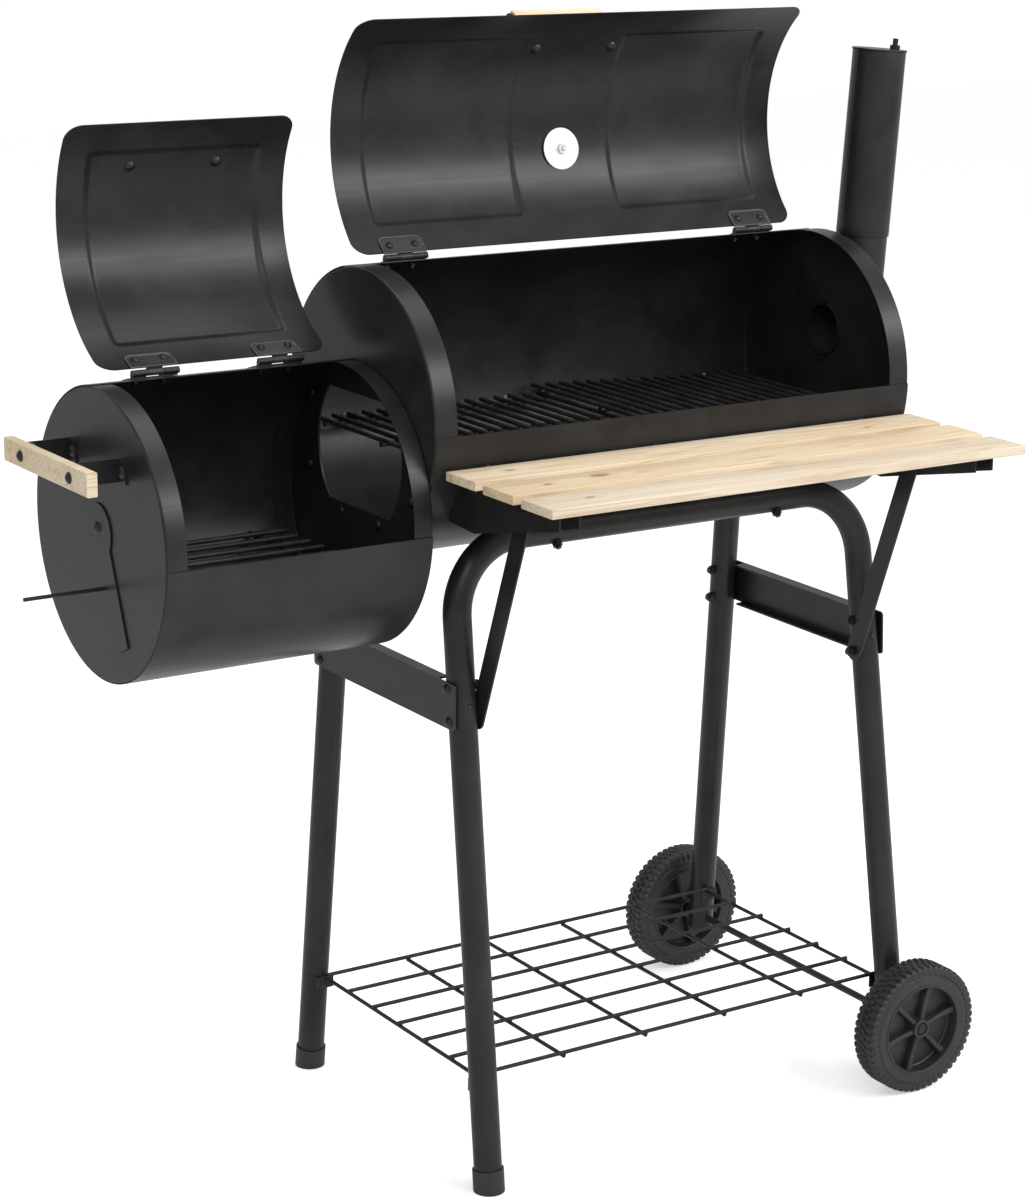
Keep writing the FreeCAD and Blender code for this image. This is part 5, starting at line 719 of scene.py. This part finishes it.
def wheel_outline():
    """Half of the wheel's section, from its middle plane out over the tread and in to its bore.

    Each point has its distance from the middle plane, its radius, how the lugs move it, and how far
    they are shifted round the wheel there, in lugs.
    """
    groove = TREAD_RADIUS - GROOVE
    lugged = [
        (0.0, groove, "tread", 0.5), (2.2, groove, "tread", 0.5),
        (2.9, groove, "plain", 0.0), (4.6, groove, "plain", 0.0),
        (5.3, groove, "tread", 0.0), (12.4, groove, "tread", 0.06),
        (14.6, groove - 0.5, "tread", 0.1), (15.7, groove - 1.6, "edge", 0.1),
        (16.1, TREAD_RADIUS - 7.0, "shoulder", 0.12), (16.1, TREAD_RADIUS - 10.5, "shoulder", 0.14),
    ]
    sidewall = [
        (16.1, TREAD_RADIUS - 11.2), (16.9, TREAD_RADIUS - 12.0), (17.1, 61.0), (17.0, 56.5), (16.5, 53.6),
    ]
    rim = [
        (16.6, 52.6), (17.4, 52.2), (17.5, 51.5), (17.4, 50.6), (16.8, 49.9), (15.8, 49.6),
        (WEB_HALF + 1.2, 49.0), (WEB_HALF, 47.8),
    ]
    hub = [
        (WEB_HALF, HUB_RADIUS + 1.6), (WEB_HALF + 1.4, HUB_RADIUS + 0.9),
        (HUB_FAR - 1.0, HUB_RADIUS), (HUB_FAR, HUB_RADIUS - 1.2),
        (HUB_FAR, POCKET_RADIUS + 0.7), (HUB_FAR - 0.6, POCKET_RADIUS),
        (POCKET_FLOOR, POCKET_RADIUS - 0.2), (POCKET_FLOOR, AXLE_HOLE),
    ]
    return lugged + [(across, radius, "plain", 0.0) for across, radius in sidewall + rim + hub]


def wheel_tread(build, turn):
    """Tread, shoulders, sidewalls, recesses and hub as one skin, with the lugs raised in it."""
    sides = LUGS * LUG_STEPS
    half = wheel_outline()
    outline = [(-across, radius, kind, shift) for across, radius, kind, shift in reversed(half[1:])] + half
    rows = []
    for across, radius, kind, shift in outline:
        side = 1.0 if across > 0 else -1.0
        row = []
        for step in range(sides):
            place = (step / LUG_STEPS + shift) % 1.0
            raised = smooth((LUG_HALF - abs(place - 0.5)) / LUG_FLANK)
            reach = radius
            aside = across
            if kind == "tread":
                reach += GROOVE * raised
            elif kind == "edge":
                reach += SHOULDER_GROOVE * raised
                aside += side * 0.2 * raised
            elif kind == "shoulder":
                aside += side * SHOULDER_RISE * raised
            angle = 2.0 * math.pi * step / sides
            row.append((reach * math.cos(angle), reach * math.sin(angle), aside))
        rows.append(row)
    build.rings(rows, closed_rows=True, turn=turn)


def wheel_rib(build, turn, angle):
    """A rib on both sides of the web, deepest at the rim and the hub, its top's edges rounded."""
    out = Matrix.Rotation(math.radians(angle), 4, "Z")
    for side in (-1, 1):
        rows = []
        for share in (0.0, 0.08, 0.3, 0.5, 0.7, 0.92, 1.0):
            between = math.sin(math.pi * share)
            reach = HUB_RADIUS - 0.6 + share * (RECESS_RADIUS - HUB_RADIUS + 1.0)
            half = RIB_HALF + RIB_FLARE * share - RIB_WAIST * between
            top = RIB_TOP - RIB_DIP * between
            flank = [(half + 0.5, WEB_HALF - 0.5), (half, top - 2.0), (half - 0.6, top - 0.7),
                     (half - 1.8, top)]
            section = [(-aside, up) for aside, up in flank] + flank[::-1]
            rows.append([(reach, aside, side * up) for aside, up in section])
        build.rings(rows, caps=(True, True), turn=turn @ out)


def add_wheels():
    for word, side in (("front", -1), ("back", 1)):
        low, high = box("wheel_%s" % word)
        middle = [(first + second) / 2 for first, second in zip(low, high)]
        turn = facing(middle, (0, side, 0))
        build = Build()
        wheel_tread(build, turn)
        for step in range(RIBS):
            wheel_rib(build, turn, FIRST_RIB + 360.0 / RIBS * step)
        build.piece("wheel_%s_moulded" % word, PLASTIC, "%s_wheel" % word, "wheel_plastic",
                    ["wheel_%s" % word], sharp=40.0)


# ------------ nuts and threads

NUT_STEPS = 48


def hex_nut(build, turn, radius, height, bore):
    """A six-sided nut with turned-off corners and a countersunk bore."""
    angles = [2.0 * math.pi * step / NUT_STEPS for step in range(NUT_STEPS)]

    def round_row(reach, level):
        return [(reach * math.cos(angle), reach * math.sin(angle), level) for angle in angles]

    def corner_row(rounding, level):
        """The six-sided outline, cut back to a circle where it reaches past it."""
        row = []
        for angle in angles:
            folded = (angle + math.pi / 6) % (math.pi / 3) - math.pi / 6
            flat = radius * math.cos(math.pi / 6) / math.cos(math.pi / 6 - abs(folded))
            reach = min(flat, rounding)
            row.append((reach * math.cos(angle), reach * math.sin(angle), level))
        return row

    rows = [
        round_row(bore, 0.0), corner_row(radius * 0.9, 0.0), corner_row(radius, height * 0.12),
        corner_row(radius, height * 0.86), corner_row(radius * 0.88, height),
        round_row(bore * 1.15, height), round_row(bore, height - bore * 0.15),
    ]
    build.rings(rows, closed_rows=True, turn=turn)


def threaded_end(build, turn, radius, length, pitch=0.9):
    """The end of a bolt with its thread's ridges and a turned-off tip."""
    root = radius * 0.86
    outline = [(root, 0.0)]
    for step in range(int(length / pitch)):
        outline += [(root, step * pitch + 0.08), (radius, (step + 0.5) * pitch)]
    outline += [(root, length - 0.5), (radius * 0.7, length)]
    build.turned(outline, turn, sides=24, caps=(True, True))


GRATE_BOLTS = (63.7, 268.3, 541.3)
GRATE_BOLT_HEIGHT = 763.7
GRATE_BOLT_RADIUS = 3.1
GRATE_BOLT_LENGTH = 11.6
GRATE_NUT_RADIUS = 6.0
GRATE_NUT_HEIGHT = 5.0
GRATE_NUT_BORE = 2.4
GRATE_NUT_FOOT = 0.15       # the nut's foot and the threaded end's start, in from the wall
GRATE_THREAD_FOOT = 5.1
SEAT_GAP = 0.2


def add_grate_nuts():
    """The nuts inside the barrel, on the bolts that carry the cooking grates, in pale zinc with a painted
    highlight.
    """
    build = Build()
    drop = MAIN.height - (GRATE_BOLT_HEIGHT - 0.95 * GRATE_NUT_RADIUS)
    wall = math.sqrt((MAIN.radius - SHEET) ** 2 - drop ** 2) - SEAT_GAP
    for along in GRATE_BOLTS:
        for side in (-1, 1):
            turn = facing((along, side * (wall - GRATE_NUT_FOOT), GRATE_BOLT_HEIGHT), (0, -side, 0))
            hex_nut(build, turn, GRATE_NUT_RADIUS, GRATE_NUT_HEIGHT, GRATE_NUT_BORE)
            turn = facing((along, side * (wall - GRATE_THREAD_FOOT), GRATE_BOLT_HEIGHT), (0, -side, 0))
            threaded_end(build, turn, GRATE_BOLT_RADIUS, GRATE_BOLT_LENGTH)
    build.piece("grate_support_nuts", ZINC_WITH_PAINTED_GLINT, "frame", "zinc")


# ------------ thermometer

GAUGE_ANGLE = 116.8
GAUGE_BACK = 153.2      # from the barrel's axis
CASE_WALL = 1.2
DIAL_HEIGHT = 5.0
DIAL_THICK = 0.8
DISC_RADIUS = 22.5
DISC_HOLE = 3.4
DISC_THICK = 1.0
INK_LIFT = 0.02
MARKS = 48
LONG_MARK_EVERY = 8
SHORT_MARK = (20.6, 0.17)     # its inner end and half its width
LONG_MARK = (18.6, 0.34)
MARKS_END = 22.8
MARKS_START_ANGLE = 225.0
MARKS_SWEEP = 270.0
POINTER_LIFT = 1.0
POINTER_THICK = 0.35

# The disc's rim meets the round inner face of the lid.
DISC_FACE = math.sqrt((MAIN.radius + LID_GAP) ** 2 - DISC_RADIUS ** 2) - SEAT_GAP
MARK_LEVEL = GAUGE_BACK + CASE_WALL + DIAL_HEIGHT + DIAL_THICK + INK_LIFT


def gauge_place(along, angle=0.0, inward=False):
    """A place on the thermometer's axis of the open lid, its local Z away from the barrel or inward."""
    turn = math.radians(GAUGE_ANGLE)
    direction = Vector((0.0, math.cos(turn), math.sin(turn)))
    place = Vector((MAIN.middle, 0.0, MAIN.height)) + direction * along
    flip = Matrix.Rotation(math.pi if inward else 0.0, 4, "X")
    return MAIN.swing @ facing(place, direction) @ flip @ Matrix.Rotation(math.radians(angle), 4, "Z")


def add_backing_disc():
    disc = Build()
    edge = [(DISC_RADIUS - inset, -DISC_THICK * depth)
            for inset, depth in ((0.9, 1.0), (0.2, 0.85), (0.0, 0.5), (0.2, 0.15), (0.9, 0.0))]
    disc.turned([(DISC_HOLE, -DISC_THICK)] + edge + [(DISC_HOLE, 0.0)],
                gauge_place(DISC_FACE), sides=96, closed=True)
    disc.piece("thermometer_backing_disc", BACKING_PAINTED_HIGHLIGHT, "main_lid", "zinc", ["thermometer_washer"])


def add_stem_and_nut():
    """The probe's nut and threaded end, which show inside, and the stem out to the dial."""
    nut = Build()
    hex_nut(nut, gauge_place(DISC_FACE - DISC_THICK, inward=True), radius=5.6, height=3.6, bore=2.6)
    threaded_end(nut, gauge_place(DISC_FACE - 3.6, inward=True), radius=2.6, length=3.0)
    nut.turned([(2.2, 0.0), (3.2, 0.0), (3.2, 8.0), (3.2, 9.6), (7.0, 9.6), (7.0, 13.2), (2.2, 13.2)],
               gauge_place(DISC_FACE - 5.0), sides=32, closed=True)
    nut.piece("thermometer_stem_and_nut", ZINC_WITH_PAINTED_GLINT, "main_lid", "zinc", ["thermometer_stem"])


def add_case():
    """The case's wall, its rolled lip round the glass and its floor."""
    case = Build()
    case.turned([(3.5, 0.0), (25.6, 0.0), (26.4, 0.35), (26.8, 1.1), (27.0, 2.0), (27.0, 11.4),
                 (26.85, 12.3), (26.5, 12.85), (26.1, 13.0), (25.6, 12.9), (25.4, 12.5),
                 (25.4, CASE_WALL), (3.5, CASE_WALL)],
                gauge_place(GAUGE_BACK), sides=96, closed=True)
    case.piece("thermometer_rolled_case", GAUGE, "main_lid", "gauge_steel", ["thermometer_case"])


def add_scale_marks():
    marks = Build()
    for step in range(MARKS + 1):
        near, half = LONG_MARK if step % LONG_MARK_EVERY == 0 else SHORT_MARK
        marks.add([(near, -half, 0.0), (MARKS_END, -half, 0.0), (MARKS_END, half, 0.0), (near, half, 0.0)],
                  [(0, 1, 2, 3)], gauge_place(MARK_LEVEL, MARKS_START_ANGLE - MARKS_SWEEP * step / MARKS))
    marks.piece("thermometer_scale_marks", INK, "main_lid", "dial_white")


def add_pointer():
    pointer = Build()
    outline = [(-5.0, -1.0), (19.0, -0.3), (19.0, 0.3), (-5.0, 1.0)]
    rows = [[(x, y, level) for x, y in outline] for level in (0.0, POINTER_THICK)]
    pointer.rings(rows, caps=(True, True), turn=gauge_place(MARK_LEVEL + POINTER_LIFT, MARKS_START_ANGLE))
    pointer.turned([(2.0, -1.0), (2.0, 0.6), (1.6, 0.95), (0.8, 1.1)],
                   gauge_place(MARK_LEVEL + POINTER_LIFT), sides=32, caps=(True, True))
    pointer.piece("thermometer_pointer", RED, "main_lid", "dial_white")


def add_thermometer():
    add_backing_disc()
    add_stem_and_nut()
    add_case()
    add_scale_marks()
    add_pointer()


# ------------ table slats and grips

BOARD_ENDS = [(0.0, 0.8), (0.25, 0.25), (0.8, 0.0)]     # from the end, and how far drawn in there
BOARD_STATIONS = (0.2, 0.35, 0.5, 0.65, 0.8)
SLAT_ROUND = 1.3
GRIP_HALF_LENGTH = 56.0
GRIP_HALF_WIDTH = 12.0
GRIP_THICK = 15.0
GRIP_ROUND = 3.4


def board(build, low, high, rounding, turn=None):
    """A planed board along X with rounded long edges and eased ends."""
    profile = []
    corners = ((high[1], high[2], 0.0), (low[1], high[2], 90.0),
               (low[1], low[2], 180.0), (high[1], low[2], 270.0))
    for corner_y, corner_z, start in corners:
        centre_y = corner_y + (rounding if corner_y == low[1] else -rounding)
        centre_z = corner_z + (rounding if corner_z == low[2] else -rounding)
        for step in range(5):
            angle = math.radians(start + 22.5 * step)
            profile.append((centre_y + rounding * math.cos(angle), centre_z + rounding * math.sin(angle)))
    middle_y = (low[1] + high[1]) / 2
    middle_z = (low[2] + high[2]) / 2
    stations = [(low[0] + run, inset) for run, inset in BOARD_ENDS]
    stations += [(low[0] + (high[0] - low[0]) * share, 0.0) for share in BOARD_STATIONS]
    stations += [(high[0] - run, inset) for run, inset in reversed(BOARD_ENDS)]
    rows = []
    for along, inset in stations:
        row = []
        for y, z in profile:
            y -= math.copysign(min(inset, abs(y - middle_y)), y - middle_y)
            z -= math.copysign(min(inset, abs(z - middle_z)), z - middle_z)
            row.append((along, y, z))
        rows.append(row)
    build.rings(rows, caps=(True, True), turn=turn)


# Each slat's seed of grain, its pale and its warm tone, and its knots as x, y and radius.
SLATS = {
    "back": (2.0, (0.80, 0.69, 0.52), (0.72, 0.57, 0.38), [(71.0, -175.2, 2.6), (520.0, -185.0, 2.4)]),
    "middle": (5.1, (0.80, 0.68, 0.50), (0.70, 0.54, 0.36), [(136.5, -238.3, 5.2), (69.6, -246.3, 2.6)]),
    "front": (8.2, (0.78, 0.70, 0.58), (0.69, 0.60, 0.47), [(74.0, -313.3, 2.6)]),
}


def add_slats():
    for word, (seed, pale, warm, knots) in SLATS.items():
        low, high = box("table_slat_%s" % word)
        knots = [(x, y, high[2], radius) for x, y, radius in knots]
        build = Build()
        board(build, low, high, SLAT_ROUND)
        material = pine("pine_slat_%s" % word, seed, knots, pale, warm)
        build.piece("table_board_%s" % word, material, "frame", "pine", ["table_slat_%s" % word])


def lid_grip(chamber, angle, bottom, seed):
    """A grip along the lid, its inner face at a distance from the chamber's axis."""
    name = chamber.lid + "_wooden_grip"
    build = Build()
    turn = chamber.swing @ Matrix.Translation((chamber.middle, 0.0, chamber.height))
    turn = turn @ Matrix.Rotation(math.radians(angle - 90.0), 4, "X")
    board(build, (-GRIP_HALF_LENGTH, -GRIP_HALF_WIDTH, bottom),
          (GRIP_HALF_LENGTH, GRIP_HALF_WIDTH, bottom + GRIP_THICK), GRIP_ROUND, turn)
    build.piece(name, pine("pine_%s" % name, seed), chamber.lid, "pine", [chamber.lid + "_grip"], sharp=45.0)


def add_grips():
    lid_grip(MAIN, angle=160.3, bottom=190.0, seed=11.0)
    lid_grip(FIRE, angle=168.3, bottom=190.5, seed=14.0)


# ------------ chimney trim

CHIMNEY_BASE = (653.68, 0.0, 945.0)
CHIMNEY_LEAN = 4.0
CHIMNEY_RADIUS = 29.9
CHIMNEY_TALL = 203.0
CHIMNEY_FOOT = 3.0
BEAD = 0.75
SEAM_HALF = 1.5
SEAM_STEPS = 40
SEAM_BULGE = 0.55
SEAM_WAVE = 0.16


def chimney_seam(build, turn):
    """The welded seam up the tube's back, slightly wavy."""
    root = CHIMNEY_RADIUS - 0.6
    rows = []
    for step in range(SEAM_STEPS + 1):
        height = CHIMNEY_FOOT + (CHIMNEY_TALL - 2 * CHIMNEY_FOOT) * step / SEAM_STEPS
        wave = SEAM_WAVE * math.sin(step * 1.9)
        row = []
        for part in range(7):
            across = SEAM_HALF * (part / 3 - 1.0)
            bulge = SEAM_BULGE * math.sqrt(1.0 - (across / (SEAM_HALF + 0.05)) ** 2)
            row.append((across + wave, CHIMNEY_RADIUS - 0.25 + bulge, height))
        rows.append(row + [(SEAM_HALF + wave, root, height), (-SEAM_HALF + wave, root, height)])
    build.rings(rows, caps=(True, True), turn=turn)


def add_chimney_trim():
    """A rolled rim at the tube's top, a flat bead at its foot and the seam."""
    lean = math.radians(CHIMNEY_LEAN)
    turn = facing(CHIMNEY_BASE, (math.sin(lean), 0.0, math.cos(lean)))
    build = Build()
    for height, squash in ((CHIMNEY_TALL - 0.9, 1.0), (CHIMNEY_FOOT - 0.18, 0.2)):
        outline = []
        for step in range(12):
            angle = 2.0 * math.pi * step / 12
            outline.append((CHIMNEY_RADIUS - 0.3 + BEAD * math.cos(angle),
                            height + BEAD * squash * math.sin(angle)))
        build.turned(outline, turn, sides=72, closed=True)
    chimney_seam(build, turn)
    build.piece("chimney_rims_and_seam", BLACK, "frame", "black_paint", sharp=50.0)


# ------------ welds

SHELF_CROSS_WIRES = 6
SHELF_FIRST_WIRE = 48.5
SHELF_CROSS_PITCH = 106.8
SHELF_WIRE_PITCH = 54.0
SHELF_WELD_HEIGHT = 116.1
GRATE_BARS = 16
GRATE_BAR = 5.0
GRATE_CROSS = 118.3
GRATE_WELD_HEIGHT = 767.0


def weld_lump(build, place, reach, up):
    """A small uneven lump of weld where two wires cross."""
    rows = []
    for level in (-0.85, -0.45, 0.0, 0.45, 0.85):
        row = []
        ring = math.sqrt(1.0 - level * level)
        for step in range(10):
            angle = 2.0 * math.pi * step / 10
            uneven = 1.0 + 0.12 * math.sin(3.0 * angle + place[0] + 2.0 * place[1])
            row.append((place[0] + reach * ring * math.cos(angle) * uneven,
                        place[1] + reach * ring * math.sin(angle) * uneven, place[2] + up * level))
        rows.append(row)
    build.rings(rows, caps=(True, True))


def add_welds():
    build = Build()
    for cross in range(SHELF_CROSS_WIRES):
        for wire in range(-3, 4):
            place = (SHELF_FIRST_WIRE + cross * SHELF_CROSS_PITCH, wire * SHELF_WIRE_PITCH, SHELF_WELD_HEIGHT)
            weld_lump(build, place, reach=3.1, up=2.0)
    build.piece("wire_shelf_welds", WIRE, "frame", "wire_black", sharp=60.0)
    build = Build()
    low, high = box("cooking_grate_left")
    pitch = (high[0] - low[0] - GRATE_BAR) / (GRATE_BARS - 1)
    for bar in range(GRATE_BARS):
        for across in (-GRATE_CROSS, 0.0, GRATE_CROSS):
            place = (low[0] + GRATE_BAR / 2 + bar * pitch, across, GRATE_WELD_HEIGHT)
            weld_lump(build, place, reach=3.2, up=2.2)
    build.piece("cooking_grate_welds", GRATE, "frame", "grate_black", sharp=60.0)


# ------------ floor, world and lamps, in metres

FLOOR_HALF = 9.0
FLOOR_DROP = 0.0005
FLOOR_GLOW = 0.46       # added for the camera alone, so that the floor reads as white paper
WORLD_LIGHT = 0.58
# Each lamp's place, what it faces, its size and its watts.
LAMPS = {
    "key": ((-1.6, -2.6, 2.9), (0.0, 0.0, 0.7), (1.8, 1.4), 22.0),
    "fill": ((1.4, -2.2, 2.25), (0.0, 0.0, 0.9), (2.6, 0.85), 52.0),
    "top": ((0.2, 0.3, 3.2), (0.0, 0.0, 0.7), (2.4, 1.6), 26.0),
}


def floor_material():
    """Plain pale paper, a little brighter where the camera sees it itself."""
    nodes = Nodes("floor_white")
    grain = nodes.noise(nodes.coordinates(), scale=40.0)
    colour = nodes.mix(nodes.spread(grain, 0.3, 0.7), grey(0.90), grey(0.92))
    paper = nodes.principled(colour, 0.9, Specular_IOR_Level=0.1)
    glow = nodes.node("ShaderNodeEmission", "Emission", {"Strength": FLOOR_GLOW})
    glowing = nodes.node("ShaderNodeAddShader", "Shader", {0: paper, 1: glow})
    seen = nodes.node("ShaderNodeLightPath", "Is Camera Ray")
    return nodes.surface(nodes.node("ShaderNodeMixShader", "Shader", {"Fac": seen, 1: paper, 2: glowing}))


def add_floor():
    mesh = bpy.data.meshes.new("floor")
    corners = [(x * FLOOR_HALF, y * FLOOR_HALF, 0.0) for x, y in ((-1, -1), (1, -1), (1, 1), (-1, 1))]
    mesh.from_pydata(corners, [], [(0, 1, 2, 3)])
    mesh.materials.append(floor_material())
    floor = bpy.data.objects.new("floor", mesh)
    floor.location.z = -FLOOR_DROP
    bpy.context.scene.collection.objects.link(floor)


def add_world():
    """Even light, and pure white where the camera sees past the floor."""
    nodes = Nodes("studio", world=True)
    light, backdrop = (
        nodes.node("ShaderNodeBackground", "Background", {"Color": grey(1.0), "Strength": strength})
        for strength in (WORLD_LIGHT, 1.0))
    seen = nodes.node("ShaderNodeLightPath", "Is Camera Ray")
    shown = nodes.node("ShaderNodeMixShader", "Shader", {"Fac": seen, 1: light, 2: backdrop})
    bpy.context.scene.world = nodes.surface(shown)


def add_lamps():
    for name, (place, target, size, power) in LAMPS.items():
        data = bpy.data.lights.new(name, "AREA")
        data.shape = "RECTANGLE"
        data.size, data.size_y = size
        data.energy = power
        lamp = bpy.data.objects.new(name, data)
        bpy.context.scene.collection.objects.link(lamp)
        lamp.location = place
        lamp.rotation_euler = (Vector(target) - Vector(place)).to_track_quat("-Z", "Y").to_euler()


# ------------ all of it

add_camera()
add_floor()
add_world()
add_lamps()
dress_nodes()
add_lids()
add_hinges()
add_wheels()
add_thermometer()
add_grate_nuts()
add_slats()
add_grips()
add_chimney_trim()
add_welds()
bpy.context.scene.view_settings.view_transform = "Standard"
